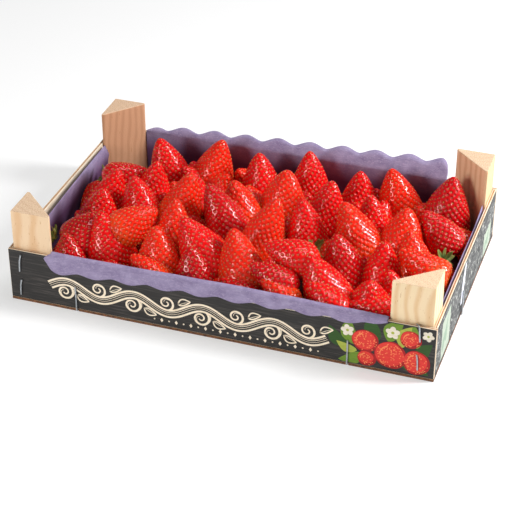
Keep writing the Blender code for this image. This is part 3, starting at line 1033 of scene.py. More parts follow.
    def normals(self, grid: np.ndarray) -> np.ndarray:
        """Gives the outward direction at each point of a berry's grid.

        Args:
            grid: The berry's points, rings by sides.

        Returns:
            The directions, in the same order.
        """
        down = np.gradient(grid, axis=0)
        round_ = np.roll(grid, -1, axis=1) - np.roll(grid, 1, axis=1)
        out = np.cross(down, round_)
        out /= np.maximum(np.linalg.norm(out, axis=-1, keepdims=True), 1e-9)
        centre = grid.mean(axis=1, keepdims=True)
        sign = np.sign((out * (grid - centre)).sum(axis=(1, 2), keepdims=True))
        return out * np.where(sign == 0, 1, sign)

    def seed_places(
        self, grid: np.ndarray, out: np.ndarray, along: np.ndarray, rng: np.random.Generator
    ) -> tuple[np.ndarray, np.ndarray]:
        """Spreads the seeds in the spiral rows that they grow in, evenly by area.

        Args:
            grid: The berry's points.
            out: The outward direction at each.
            along: Each ring's share of the length.
            rng: Where the small unevenness comes from.

        Returns:
            The seeds' places and the outward directions there.
        """
        step = np.linalg.norm(np.diff(grid, axis=0), axis=-1).mean(axis=1)
        centre = grid.mean(axis=1, keepdims=True)
        wide = np.linalg.norm(grid - centre, axis=-1).mean(axis=1)
        band = 2 * math.pi * 0.5 * (wide[1:] + wide[:-1]) * step
        area = np.concatenate([[0.0], np.cumsum(band)])
        last = np.searchsorted(along, self.seeds_end)
        total = area[last]
        count = max(20, int(total / (0.866 * self.seed_gap ** 2)))
        ring = np.interp((np.arange(count) + 0.35) / count * total, area, np.arange(len(area)))
        turn = (np.arange(count) * math.pi * (3 - math.sqrt(5)) + rng.uniform(0, 6)) % (2 * math.pi)
        side = turn / (2 * math.pi) * grid.shape[1]
        low_r = np.clip(np.floor(ring).astype(int), 0, grid.shape[0] - 2)
        low_s = np.floor(side).astype(int) % grid.shape[1]
        next_s = (low_s + 1) % grid.shape[1]
        part_r, part_s = (ring - low_r)[:, None], (side - np.floor(side))[:, None]
        result = []
        for field in (grid, out):
            near = field[low_r, low_s] * (1 - part_s) + field[low_r, next_s] * part_s
            far = field[low_r + 1, low_s] * (1 - part_s) + field[low_r + 1, next_s] * part_s
            result.append(near * (1 - part_r) + far * part_r)
        spots, ways = result
        spots = spots + rng.normal(0.0, 0.2, spots.shape)
        return spots, ways / np.linalg.norm(ways, axis=1, keepdims=True)

    def settle(self, berry: Berry, points: np.ndarray) -> np.ndarray:
        """Leans and moves a berry into place, and presses it flat on the walls it touches.

        Args:
            berry: The berry.
            points: Points from its tip, in millimetres.

        Returns:
            The points in tray millimetres.
        """
        turned = points @ np.array(berry.turn()).T + np.array([berry.x, berry.y, berry.z])
        for out_x, out_y, far in self.room():
            past = turned[:, 0] * out_x + turned[:, 1] * out_y - far
            push = np.maximum(past, 0.0)
            turned[:, 0] -= push * out_x
            turned[:, 1] -= push * out_y
        turned[:, 2] = np.maximum(turned[:, 2], self.floor)
        return turned

    def berry(self, berry: Berry, number: int, fine: bool) -> BerryMesh:
        """Makes one berry with its pits.

        Args:
            berry: The berry.
            number: Its number, which sets its small lumps.
            fine: Whether it lies in the top layer.

        Returns:
            Its points in tray millimetres, its faces, each point's distance from a seed and
            share of the length, and the seeds' places, turns and sizes.
        """
        rng = np.random.default_rng(self.seed * 1000 + number)
        rings, sides = (self.rings, self.sides) if fine else (self.low_rings, self.low_sides)
        grid, along = self.bare_grid(berry, rings, sides, rng)
        out = self.normals(grid)
        spots, ways = self.seed_places(grid, out, along, rng)
        flat = grid.reshape(-1, 3)
        apart = np.full(len(flat), 1e9)
        for first in range(0, len(spots), 64):
            gap = flat[:, None, :] - spots[None, first:first + 64, :]
            apart = np.minimum(apart, np.sqrt((gap ** 2).sum(-1)).min(axis=1))
        pit = 0.5 + 0.5 * np.cos(math.pi * np.minimum(1.0, apart / self.pit_reach))
        dented = flat - out.reshape(-1, 3) * (self.pit_depth * pit)[:, None]
        tip = np.array([[0.0, 0.0, 0.0]])
        foot = np.array([[0.0, 0.0, -berry.length + 2.2]])
        points = self.settle(berry, np.vstack([dented, tip, foot]))
        count = grid.shape[0]
        faces: list[tuple[int, ...]] = []
        for i in range(count - 1):
            a = i * sides
            for j in range(sides):
                k = (j + 1) % sides
                faces.append((a + j, a + sides + j, a + sides + k, a + k))
        top, end, base = len(flat), len(flat) + 1, (count - 1) * sides
        for j in range(sides):
            k = (j + 1) % sides
            faces.append((top, j, k))
            faces.append((end, base + k, base + j))
        gaps = np.concatenate([np.minimum(apart, 5.0), [3.0, 3.0]])
        shares = np.concatenate([np.repeat(along, sides), [0.0, 1.0]])
        seeds = self.turned_seeds(berry, spots, ways, rng)
        return points, faces, gaps, shares, seeds

    def turned_seeds(
        self, berry: Berry, spots: np.ndarray, ways: np.ndarray, rng: np.random.Generator
    ) -> list[SeedSpot]:
        """Lays each seed at the bottom of its pit, its long side towards the berry's tip.

        Args:
            berry: The berry.
            spots: The seeds' places on an upright berry, in millimetres.
            ways: The outward directions there.
            rng: Where the differences in size come from.

        Returns:
            The seeds that can be seen from outside the heap, in the frame's metres.
        """
        sunk = self.settle(berry, spots - ways * self.pit_depth * 0.5)
        turn = berry.turn()
        found = []
        for spot, way in zip(sunk, ways):
            if spot[2] < self.lowest_seed:
                continue
            out = (turn @ Vector(way)).normalized()
            up = turn @ Vector((0.0, 0.0, 1.0))
            side = up.cross(out)
            if side.length < 1e-3:
                side = Vector((1.0, 0.0, 0.0)).cross(out)
            side.normalize()
            frame_ = Matrix((side, out.cross(side), out)).transposed()
            found.append((at(*spot), frame_, float(rng.uniform(0.85, 1.15))))
        return found

    def core(self) -> Piece:
        """Makes the fruit lower down as one low, lumpy mound that fills the liner.

        Returns:
            The piece.
        """
        bm = bmesh.new()
        bmesh.ops.create_grid(bm, x_segments=96, y_segments=60, size=1.0)
        for vert in bm.verts:
            u, v = vert.co.x, vert.co.y
            height = self.core_low + self.core_rise * (1.0 - u ** 4) * (1.0 - v ** 2)
            edge = min(1.0, (1.0 - abs(u)) * 12.0, (1.0 - abs(v)) * 8.0)
            bend = math.sin(u * 34.0 + 1.3 * math.sin(v * 9.0))
            height += edge * self.core_lump * bend * math.sin(v * 21.0)
            vert.co = at(u * self.core_half[0], v * self.core_half[1], height)
        rim = bmesh.ops.extrude_face_region(bm, geom=list(bm.faces))
        for vert in rim["geom"]:
            if isinstance(vert, bmesh.types.BMVert):
                vert.co.z = self.floor * MM
        for wall_x, wall_y, far in self.room():
            for vert in bm.verts:
                past = vert.co.x / MM * wall_x + (vert.co.y / MM - SHIFT_Y) * wall_y - far
                if past > 0:
                    vert.co.x -= past * wall_x * MM
                    vert.co.y -= past * wall_y * MM
        bmesh.ops.recalc_face_normals(bm, faces=bm.faces)
        mesh = bpy.data.meshes.new("fruit_core")
        bm.to_mesh(mesh)
        bm.free()
        # The core's finish is painted shade: near-black red down the gaps.
        piece = add_piece("fruit_core", mesh, ShadePaintedFruit("shade_painted_fruit"))
        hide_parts("strawberries")
        return piece

    def seed_tree(self) -> Tree:
        """Builds the tree that sets a small seed husk on every point.

        Returns:
            The tree.
        """
        names = ("Seed width", "Seed length", "Seed thickness")
        tree, given = start_tree("seed_husks", names)
        ball = add_node(tree, "GeometryNodeMeshIcoSphere", None, {"Radius": 0.5, "Subdivisions": 1})
        sizes = add_node(
            tree, "ShaderNodeCombineXYZ", None,
            {"X": given.outputs[names[0]], "Y": given.outputs[names[1]], "Z": given.outputs[names[2]]},
        )
        husk = add_node(
            tree, "GeometryNodeTransform", None,
            {"Geometry": ball.outputs["Mesh"], "Scale": sizes.outputs["Vector"]},
        )
        end_tree(tree, given, husk.outputs["Geometry"], AcheneHusk("achene_husk"), True)
        return tree

    def group(self, name: str, tone: Tone, made: list) -> Piece:
        """Joins some finished berries as one piece.

        Args:
            name: The piece's name.
            tone: How ripe they are.
            made: What berry() gave for each.

        Returns:
            The piece.
        """
        points, faces, gaps, shares, start = [], [], [], [], 0
        for part in made:
            points.append(part[0])
            faces.extend(tuple(start + i for i in face) for face in part[1])
            gaps.append(part[2])
            shares.append(part[3])
            start += len(part[0])
        placed = (np.vstack(points) + np.array([0.0, SHIFT_Y, 0.0])) * MM
        mesh = mesh_from(name, placed, faces)
        for key, values in (("from_seed", gaps), ("along", shares)):
            field = mesh.attributes.new(key, "FLOAT", "POINT")
            field.data.foreach_set("value", np.concatenate(values))
        piece = add_piece(name, mesh, SKINS[tone])
        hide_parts("strawberries")
        return piece

    def build(self) -> list[Piece]:
        """Makes the core, all berries and their seeds.

        Returns:
            The pieces.
        """
        pieces = [self.core()]
        seeds = []
        layers = (("top", listed_berries(), True), ("lower", self.lower_berries(), False))
        number = 0
        for layer, berries, fine in layers:
            made: dict[Tone, list] = {tone: [] for tone in Tone}
            for berry in berries:
                number += 1
                part = self.berry(berry, number, fine)
                made[berry.tone].append(part)
                seeds.extend(part[4])
            for tone, parts in made.items():
                for first in range(0, len(parts), self.most_in_piece):
                    name = f"berries_{layer}_{tone.value}_{first // self.most_in_piece + 1}"
                    pieces.append(self.group(name, tone, parts[first:first + self.most_in_piece]))
        tree = self.seed_tree()
        sizes = {
            "Seed width": self.seed_wide * MM, "Seed length": self.seed_long * MM,
            "Seed thickness": self.seed_thick * MM,
        }
        half = (len(seeds) + 1) // 2
        for part_number, some in enumerate((seeds[:half], seeds[half:])):
            name = f"seeds_{part_number + 1}"
            mesh = grown(name, point_mesh(name + "_spots", some), tree, sizes)
            piece = add_piece(name, mesh, AcheneHusk("achene_husk"))
            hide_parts("strawberries")
            pieces.append(piece)
        NOTES.info("%d berries, %d seeds", number, len(seeds))
        return pieces


@dataclass
class Calyxes:
    """Green leaf crowns that show in a few gaps between the berries."""

    length: float = 13.0
    width: float = 5.5
    droop: float = 0.35
    cup: float = 4.0
    thick: float = 0.3
    sepals: int = 9
    seed: int = 5

    def crowns(self) -> list[tuple[float, float, float, float, float]]:
        """Gives where the crowns are and how they tilt.

        Returns:
            Each crown's middle, and its tilt's bearing and angle in degrees.
        """
        return [
            (-172.0, -84.0, 47.0, -150.0, 50.0),
            (-174.0, 40.0, 44.0, -160.0, 60.0),
            (30.0, 20.0, 46.0, 20.0, 60.0),
            (60.0, -22.0, 46.0, -30.0, 60.0),
            (178.0, -8.0, 48.0, -20.0, 60.0),
        ]

    def tree(self) -> Tree:
        """Builds the tree that sets a pointed, drooping sepal on every point.

        Returns:
            The tree.
        """
        names = ("Sepal length", "Sepal width", "Droop")
        tree, given = start_tree("sepals", names)
        sheet = add_node(
            tree, "GeometryNodeMeshGrid", None,
            {"Size X": 1.0, "Size Y": 1.0, "Vertices X": 8, "Vertices Y": 5},
        )
        spot = add_node(tree, "GeometryNodeInputPosition")
        axes = add_node(tree, "ShaderNodeSeparateXYZ", None, {"Vector": spot.outputs[0]}).outputs
        known = {"u": axes["X"], "v": axes["Y"], **{name: given.outputs[name] for name in names}}
        steps = (
            ("share", "ADD", "u", 0.5),
            ("wave", "MULTIPLY", "share", math.pi * 0.93),
            ("bulge", "SINE", "wave"),
            ("wide", "MULTIPLY", "bulge", "v"),
            ("fall", "POWER", "share", 2.0),
            ("hollow", "MULTIPLY", "wide", "wide"),
            ("X", "MULTIPLY", "share", "Sepal length"),
            ("Y", "MULTIPLY", "wide", "Sepal width"),
            ("down", "MULTIPLY", "fall", "Droop"),
            ("Z", "MULTIPLY_ADD", "hollow", self.cup * MM, "down"),
        )
        for name, operation, *values in steps:
            inputs = {number: known.get(value, value) for number, value in enumerate(values)}
            known[name] = add_node(tree, "ShaderNodeMath", {"operation": operation}, inputs).outputs[0]
        place = add_node(tree, "ShaderNodeCombineXYZ", None, {axis: known[axis] for axis in "XYZ"})
        leaf = add_node(
            tree, "GeometryNodeSetPosition", None,
            {"Geometry": sheet.outputs["Mesh"], "Position": place.outputs["Vector"]},
        )
        thick = add_node(
            tree, "GeometryNodeExtrudeMesh", {"mode": "FACES"},
            {"Mesh": leaf.outputs["Geometry"], "Offset Scale": self.thick * MM, "Individual": False},
        )
        flipped = add_node(tree, "GeometryNodeFlipFaces", None, {"Mesh": leaf.outputs["Geometry"]})
        both = add_node(tree, "GeometryNodeJoinGeometry")
        tree.links.new(thick.outputs["Mesh"], both.inputs[0])
        tree.links.new(flipped.outputs["Mesh"], both.inputs[0])
        closed = add_node(
            tree, "GeometryNodeMergeByDistance", None, {"Geometry": both.outputs[0], "Distance": 0.00001}
        )
        end_tree(tree, given, closed.outputs["Geometry"], SepalLeaf("sepal_leaf"), True)
        return tree

    def build(self) -> Piece:
        """Makes all crowns as one piece.

        Returns:
            The piece.
        """
        rng = random.Random(self.seed)
        spots = []
        for x, y, z, bearing, angle in self.crowns():
            tilt = Matrix.Rotation(math.radians(bearing), 3, "Z")
            tilt = tilt @ Matrix.Rotation(math.radians(angle), 3, "Y")
            for i in range(self.sepals):
                around = 2 * math.pi * i / self.sepals + rng.uniform(-0.15, 0.15)
                spin = Matrix.Rotation(around, 3, "Z")
                lift = Matrix.Rotation(rng.uniform(-0.5, 0.1), 3, "Y")
                spots.append((at(x, y, z), tilt @ spin @ lift, rng.uniform(0.8, 1.1)))
        sizes = {
            "Sepal length": self.length * MM,
            "Sepal width": self.width * MM,
            "Droop": self.droop * self.length * MM,
        }
        mesh = grown("calyx_leaves", point_mesh("calyx_spots", spots), self.tree(), sizes)
        piece = add_piece("calyx_leaves", mesh, SepalLeaf("sepal_leaf"))
        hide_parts("strawberries")
        return piece


# The paper.


@dataclass
class Liner:
    """Purple paper: a base and four flaps, the front one folded over the wall."""

    thick: float = 0.42
    fold_top: float = 58.4
    front_x: tuple[float, float] = (-157.6, 157.2)
    back_x: tuple[float, float] = (-163.2, 151.0)
    flare: float = 6.4
    side_flap_y: float = 82.0
    wave: float = 33.5
    back_lean: float = 33.0
    columns: int = 236

    def scallop(self, x: float, depth: float = 3.4) -> float:
        """Gives the wavy cut of a long flap's free edge at x, up to depth on a lobe."""
        return depth * (0.5 + 0.5 * math.cos(2 * math.pi * (x + 14.0) / self.wave)) ** 0.8

    def round_end(self, off: float, reach: float) -> float:
        """Gives how far a free edge draws back, 0 to 1, at off from the flap's end."""
        near = min(1.0, max(0.0, 1.0 - off / reach))
        return 1.0 - math.sqrt(max(0.0, 1.0 - near * near))

    def front(self, x: float) -> list[Size3]:
        """Gives the front flap's section at x: up the wall, over it and down outside.

        Args:
            x: Where along the wall, in millimetres.

        Returns:
            The section's points, upwards, then down outside.
        """
        inner = -(TRAY_Y / 2 - PLY_T - PAPER_GAP)
        outer = -(TRAY_Y / 2 + 0.7)
        share = (x + 156.0) / 312.0
        hang = 15.0 - 10.5 * min(1.0, share * 1.35) + 1.2 * math.sin(x / 60.0)
        hang = (hang + self.scallop(x)) * (1.0 - 0.45 * self.round_end(x - self.front_x[0], 11.0))
        hang *= 1.0 - 0.92 * min(1.0, max(0.0, (x - 128.0) / 29.2)) ** 1.6
        crest = self.fold_top + 0.7 * math.sin(x / 47.0 + 1.0) + 0.15 * math.sin(x / 9.0)
        low = WALL_TOP - 0.5 - hang
        puff = 0.12 * math.sin(x / 13.0)
        out = self.flare * max(0.0, (-136.0 - x) / 21.6) ** 2
        points = [
            (x, inner, 30.0), (x, inner, 51.0), (x, inner - 0.4, crest - 0.8), (x, inner - 1.6, crest),
            (x, outer + 1.2, crest - 0.6), (x - out * 0.5, outer + puff, crest - 2.4),
            (x - out, outer + puff, (crest + low) / 2), (x - out * 0.4, outer + 0.1, low),
        ]
        return [tuple(p) for p in smooth_path(points, 3)]

    def back(self, x: float) -> list[Size3]:
        """Gives the back flap's section at x: up to its crease, then leaning out.

        Args:
            x: Where along the wall, in millimetres.

        Returns:
            The section's points, upwards.
        """
        inner = TRAY_Y / 2 - PLY_T - PAPER_GAP
        crease = WALL_TOP + 1.4
        share = max(0.0, (x + 156.0) / 312.0)
        end = min(x - self.back_x[0], self.back_x[1] - x)
        height = 2.5 + 13.75 * min(1.0, share / 0.95) ** 0.85 + self.scallop(x + 9.0, 5.0)
        height *= 1.0 - 0.6 * self.round_end(end, 8.0)
        height *= min(1.0, 0.25 + (x - self.back_x[0]) / 22.0)
        lean = math.radians(self.back_lean)
        found = [(x, inner, 30.0), (x, inner, 45.0), (x, inner, crease - 1.0), (x, inner + 0.15, crease)]
        for part in (0.15, 0.4, 0.7, 1.0):
            sag = 0.5 * math.sin(math.pi * part) + 0.2 * part * (1.0 + math.sin(x / 11.0))
            run = height * part
            found.append((x, inner + run * math.sin(lean) - sag, crease + run * math.cos(lean)))
        return found

    def side(self, y: float, sign: int) -> Outline:
        """Gives a short flap's section at y. It leans into the box below the wall's top.

        Args:
            y: Where along the wall, in millimetres.
            sign: 1 for the right flap and -1 for the left.

        Returns:
            The section's points, upwards, as x and z.
        """
        outer = TRAY_X / 2 - PLY_T - PAPER_GAP
        share = (y + self.side_flap_y) / (2 * self.side_flap_y)
        if sign > 0:
            top = 54.4 + 0.8 * math.sin(5.0 * share) + 5.0 * max(0.0, (share - 0.8) / 0.2)
            ends = ((0.2, 25.0), (0.6, top - 9.0), (1.0, top - 4.0), (1.4, top))
            return [(outer - lean, z) for lean, z in ends]
        fold = max(0.0, (share - 0.45) / 0.55)
        lean, outward = 5.0 + 1.5 * share, 4.2 * fold
        top = 47.5 + 6.0 * share + 1.5 * math.sin(math.pi * share) + 1.2 * (lean - outward - 1.6)
        knee = top - 8.0 * fold - 0.8
        return [
            (-(outer - lean * 0.48), 25.0),
            (-(outer - lean), knee),
            (-(outer - lean + outward * 0.45), (knee + top) / 2),
            (-(outer - lean + outward), top),
        ]

    def build(self) -> Piece:
        """Makes the whole sheet and gives it its thickness.

        Returns:
            The piece.
        """
        bm = bmesh.new()
        floor = BASE_T + 0.6
        edge_x, edge_y = TRAY_X / 2 - PLY_T - PAPER_GAP, TRAY_Y / 2 - PLY_T - PAPER_GAP
        fronts = np.linspace(*self.front_x, self.columns)
        backs = np.linspace(*self.back_x, self.columns)
        ys = np.linspace(-self.side_flap_y, self.side_flap_y, 49)
        feet = {
            "front": [bm.verts.new(at(x, -edge_y, floor)) for x in fronts],
            "back": [bm.verts.new(at(x, edge_y, floor)) for x in backs],
            "left": [bm.verts.new(at(-edge_x, y, floor)) for y in ys],
            "right": [bm.verts.new(at(edge_x, y, floor)) for y in ys],
        }
        corner = {
            (sx, sy): bm.verts.new(at(ends[(sx + 1) // 2], sy * self.side_flap_y, floor))
            for sy, ends in ((-1, self.front_x), (1, self.back_x)) for sx in (-1, 1)
        }
        loop = [*feet["front"], corner[1, -1], *feet["right"], corner[1, 1], *reversed(feet["back"])]
        loop += [corner[-1, 1], *reversed(feet["left"]), corner[-1, -1]]
        bm.faces.new(loop)
        self.grow(bm, feet["front"], [[at(*p) for p in self.front(x)] for x in fronts])
        self.grow(bm, feet["back"], [[at(*p) for p in self.back(x)] for x in backs])
        self.grow(bm, feet["left"], [[at(p[0], y, p[1]) for p in self.side(y, -1)] for y in ys])
        self.grow(bm, feet["right"], [[at(p[0], y, p[1]) for p in self.side(y, 1)] for y in ys])
        bmesh.ops.recalc_face_normals(bm, faces=bm.faces)
        mesh = bpy.data.meshes.new("paper_liner")
        bm.to_mesh(mesh)
        bm.free()
        mesh.polygons.foreach_set("use_smooth", [len(p.vertices) == 4 for p in mesh.polygons])
        piece = add_piece("paper_liner", mesh, LinerPaper("dyed_liner_paper"))
        solid = piece.modifiers.new("paper", "SOLIDIFY")
        solid.thickness = self.thick * MM
        solid.offset = 0.0
        solid.use_even_offset = True
        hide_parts("liner")
        return piece

    def grow(self, bm: bmesh.types.BMesh, foot: list[Any], rows: list[list[Vector]]) -> None:
        """Adds a flap's faces.

        Args:
            bm: The mesh that gets them.
            foot: The flap's points on the base.
            rows: Its section's points at each of them, upwards.
        """
        before = foot
        for step in range(len(rows[0])):
            now = [bm.verts.new(row[step]) for row in rows]
            for i in range(len(now) - 1):
                bm.faces.new((before[i], before[i + 1], now[i + 1], now[i]))
            before = now


# The print.

# Each shape lies a step above the one before, and each ink well over the last, in
# millimetres, so that no two faces meet.
INK_STEP = 0.0006
INK_OVER = 0.035


class Wall(Enum):
    """The tray's outer faces."""

    FRONT = "front"
    BACK = "back"
    RIGHT = "right"
    LEFT = "left"


@dataclass
class InkLayer:
    """All shapes of one ink on one wall, each a film a little above the one before."""

    wall: Wall
    ink: PrintInk
    lift: float = 0.03
    film: float = 0.03

    def __post_init__(self) -> None:
        """Starts with no shapes."""
        self.points: list[Vector] = []
        self.faces: list[tuple[int, ...]] = []

    def spot(self, u: float, v: float, off: float) -> Vector:
        """Gives a point on or off the wall, as seen from outside.

        Args:
            u: How far along it is from the wall's middle, in millimetres.
            v: How far up.
            off: How far off the wall's face.

        Returns:
            The point in the frame's metres.
        """
        half_x, half_y = TRAY_X / 2 + off, TRAY_Y / 2 + off
        return {
            Wall.FRONT: lambda: at(u, -half_y, v),
            Wall.BACK: lambda: at(-u, half_y, v),
            Wall.RIGHT: lambda: at(half_x, u, v),
            Wall.LEFT: lambda: at(-half_x, -u, v),
        }[self.wall]()

    def shape(self, outline: Sequence[Sequence[float]]) -> None:
        """Adds a filled shape.

        Args:
            outline: Its outline's points, along the wall and up it, in millimetres.
        """
        area = sum(a[0] * b[1] - b[0] * a[1] for a, b in zip(outline, [*outline[1:], outline[0]]))
        around = list(outline) if area > 0 else list(reversed(outline))
        start, count = len(self.points), len(around)
        self.points.extend(self.spot(u, v, self.lift + self.film) for u, v in around)
        self.points.extend(self.spot(u, v, self.lift) for u, v in around)
        self.faces.append(tuple(start + i for i in range(count)))
        self.faces.append(tuple(start + count + i for i in reversed(range(count))))
        for i in range(count):
            j = (i + 1) % count
            self.faces.append((start + i, start + count + i, start + count + j, start + j))
        self.lift += INK_STEP

    def ribbon(self, path: Sequence[Sequence[float]], width: float, end_width: float | None = None) -> None:
        """Adds a stroke along a path.

        Args:
            path: Points of its middle line.
            width: Its width at the start.
            end_width: Its width at the end, if it tapers.
        """
        line = np.asarray(path, float)
        way = np.gradient(line, axis=0)
        way /= np.maximum(np.linalg.norm(way, axis=1, keepdims=True), 1e-9)
        side = np.stack([-way[:, 1], way[:, 0]], axis=1)
        wide = np.linspace(width, width if end_width is None else end_width, len(line))[:, None] / 2
        left, right = line + side * wide, line - side * wide
        start, count = len(self.points), len(line)
        for off in (self.lift + self.film, self.lift):
            self.points.extend(self.spot(u, v, off) for u, v in left)
            self.points.extend(self.spot(u, v, off) for u, v in right)
        a, b, c, d = start, start + count, start + 2 * count, start + 3 * count
        for i in range(count - 1):
            self.faces.append((a + i, b + i, b + i + 1, a + i + 1))
            self.faces.append((c + i, c + i + 1, d + i + 1, d + i))
            self.faces.append((a + i, a + i + 1, c + i + 1, c + i))
            self.faces.append((b + i, d + i, d + i + 1, b + i + 1))
        last = count - 1
        self.faces.append((a, c, d, b))
        self.faces.append((a + last, b + last, d + last, c + last))
        self.lift += INK_STEP

    def piece(self, name: str, slot: str) -> Piece:
        """Makes one piece of all the shapes.

        Args:
            name: The piece's name.
            slot: Its material slot in the record. Not used.

        Returns:
            The piece.
        """
        mesh = mesh_from(name, np.array([tuple(p) for p in self.points]), self.faces, False)
        bm = bmesh.new()
        bm.from_mesh(mesh)
        bmesh.ops.recalc_face_normals(bm, faces=bm.faces)
        bm.to_mesh(mesh)
        bm.free()
        return add_piece(name, mesh, self.ink)


INKS = {
    "cream": PrintInk("ink_cream", "#F7E8D0", "#D9C6A6"),
    "black": PrintInk("ink_black", "#2B2928", "#3A3633"),
    "red": PrintInk("ink_red", "#E03A33", "#CE2B26"),
    "dark_red": PrintInk("ink_dark_red", "#A81A1C", "#96161A"),
    "orange": PrintInk("ink_orange", "#F08A55", "#E87042"),
    "leaf": PrintInk("ink_leaf", "#6F8F2E", "#577625"),
    "pale_leaf": PrintInk("ink_pale_leaf", "#A9B24A", "#8E9C3A"),
    "dark_leaf": PrintInk("ink_dark_leaf", "#2F5220", "#28451C"),
    "blossom": PrintInk("ink_blossom", "#E9E0CE", "#D2C6AE"),
    "mist": PrintInk("ink_mist", "#B4BFAE", "#929D8E"),
    "sage": PrintInk("ink_sage", "#8EA590", "#7B927D"),
    "frost": PrintInk("ink_frost", "#E6E8F4", "#D2D6E6"),
}


def turned(x: float, z: float, u: float, v: float, way: float) -> tuple[float, float]:
    """Gives the point u along and v across from x, z, after a turn of way radians."""
    return x + u * math.cos(way) - v * math.sin(way), z + u * math.sin(way) + v * math.cos(way)


@dataclass
class Ornament:
    """The print on the long walls: a rolling vine with curls, and a spray of round fruit.

    The vine swings about its middle height between left and right, once a period.
    """

    left: float = -160.0
    right: float = 104.0
    middle: float = 24.0
    swing: float = 6.5
    period: float = 66.0
    band: float = 7.0
    print_half: float = 198.8
    print_z: Span = (4.0, 54.0)
    bead_z: float = 9.0
    bead_step: float = 7.0
    beads: int = 23

    def vine(self, x: float) -> float:
        """Gives the vine's height at x."""
        return self.middle + self.swing * math.sin(2 * math.pi * (x - self.left) / self.period)

    def leaf_outline(
        self, x: float, z: float, length: float, width: float, turn: float, bow: float = 0.12
    ) -> Outline:
        """Gives a pointed leaf's outline.

        Args:
            x: Where its stalk end is.
            z: The same, upwards.
            length: Its length.
            width: Its greatest width.
            turn: Which way it points, in degrees.
            bow: How much it bends to one side.

        Returns:
            Points of the outline.
        """
        way = math.radians(turn)
        found = []
        for sign, shares in ((1, np.linspace(0, 1, 15)), (-1, np.linspace(1, 0, 15)[1:-1])):
            for share in shares:
                half = width / 2 * math.sin(math.pi * share ** 0.8) ** 0.9
                off = sign * half + bow * length * math.sin(math.pi * share)
                run = share * length
                found.append(turned(x, z, run, off, way))
        return found

    def curl(self, x: float, z: float, start: float, radius: float, turns: float, hand: int) -> np.ndarray:
        """Gives a spiral that winds in round a middle point.

        Args:
            x: Its middle.
            z: The same, upwards.
            start: The angle it starts from, in degrees.
            radius: Its radius at the start.
            turns: How many turns it makes.
            hand: 1 for anticlockwise and -1 for clockwise.

        Returns:
            Points along it.
        """
        share = np.linspace(0.0, 1.0, 56)
        angle = math.radians(start) + hand * share * turns * 2 * math.pi
        reach = radius * (1.0 - 0.84 * share ** 0.85)
        return np.stack([x + reach * np.cos(angle), z + reach * np.sin(angle)], axis=1)

    def disc(
        self, x: float, z: float, wide: float, high: float, turn: float = 0.0,
        count: int = 28, wobble: float = 0.0,
    ) -> Outline:
        """Gives an oval's outline.

        Args:
            x: Its middle.
            z: The same, upwards.
            wide: Half its width.
            high: Half its height.
            turn: How far it is turned, in degrees.
            count: How many points it has.
            wobble: How uneven it is, as a share of its size.

        Returns:
            Points of the outline.
        """
        way = math.radians(turn)
        found = []
        for i in range(count):
            a = 2 * math.pi * i / count
            grow = 1.0 + wobble * math.sin(3 * a + x) + wobble * 0.6 * math.sin(5 * a + z)
            u, v = wide * grow * math.cos(a), high * grow * math.sin(a)
            found.append(turned(x, z, u, v, way))
        return found

    def scroll(self, wall: Wall, slot: str) -> list[Piece]:
        """Prints the vine: an outlined band with outlined curls and leaves beside it.

        Args:
            wall: The wall.
            slot: Its material slot in the record.

        Returns:
            The pieces.
        """
        cream = InkLayer(wall, INKS["cream"])
        xs = np.linspace(self.left, self.right, 200)
        half = int((self.right - self.left) / (self.period / 2))
        for k in range(half):
            x = self.left + (k + 0.5) * self.period / 2
            up = 1 if k % 2 else -1
            z = self.middle + up * 4.5
            cream.ribbon(self.curl(x - 2.0, z, -90.0 * up - 40.0, 9.0, 1.55, up), 2.3, 1.2)
            cream.ribbon(self.curl(x - 2.0, z, -90.0 * up - 40.0, 11.6, 0.8, up), 0.7, 0.4)
            tip = self.leaf_outline(x + 10.0, z + 1.0 * up, 12.5, 6.2, 24.0 * up, 0.1 * up)
            cream.ribbon([*tip, tip[0], tip[1]], 1.3)
            vein = [(x + 11.0, z + 1.2 * up), (x + 16.0, z + 4.0 * up), (x + 20.0, z + 5.2 * up)]
            cream.ribbon(smooth_path(vein, 5), 0.6, 0.3)
        made = [cream.piece(f"{wall.value}_print_curls", slot)]
        field = InkLayer(wall, INKS["black"], cream.lift + INK_OVER)
        field.ribbon([(x, self.vine(x)) for x in xs], self.band, self.band)
        made.append(field.piece(f"{wall.value}_print_vine_field", slot))
        lines = InkLayer(wall, INKS["cream"], field.lift + INK_OVER)
        slope = np.gradient([self.vine(x) for x in xs], xs)
        for side, width in ((0.5, 2.0), (-0.5, 2.0), (0.18, 0.55), (-0.1, 0.4)):
            off = side * self.band
            run = np.sqrt(1 + slope ** 2)
            path = [(x - off * s / r, self.vine(x) + off / r) for x, s, r in zip(xs, slope, run)]
            lines.ribbon(path, width)
        made.append(lines.piece(f"{wall.value}_print_vine_lines", slot))
        return made

    def row_of_beads(self, wall: Wall, slot: str) -> Piece:
        """Prints a row of lozenges and a hairline over the vine.

        Args:
            wall: The wall.
            slot: Its material slot in the record.

        Returns:
            The piece.
        """
        layer = InkLayer(wall, INKS["cream"])
        z = self.bead_z
        for k in range(self.beads):
            x = -58.0 + k * self.bead_step
            high, wide = (2.3, 1.5) if k % 2 else (1.0, 1.0)
            layer.shape([(x - wide, z), (x, z - high), (x + wide, z), (x, z + high)])
        layer.ribbon([(10.0 + i * 5.0, 46.6 + 0.06 * i) for i in range(21)], 0.4)
        return layer.piece(f"{wall.value}_print_beads", slot)

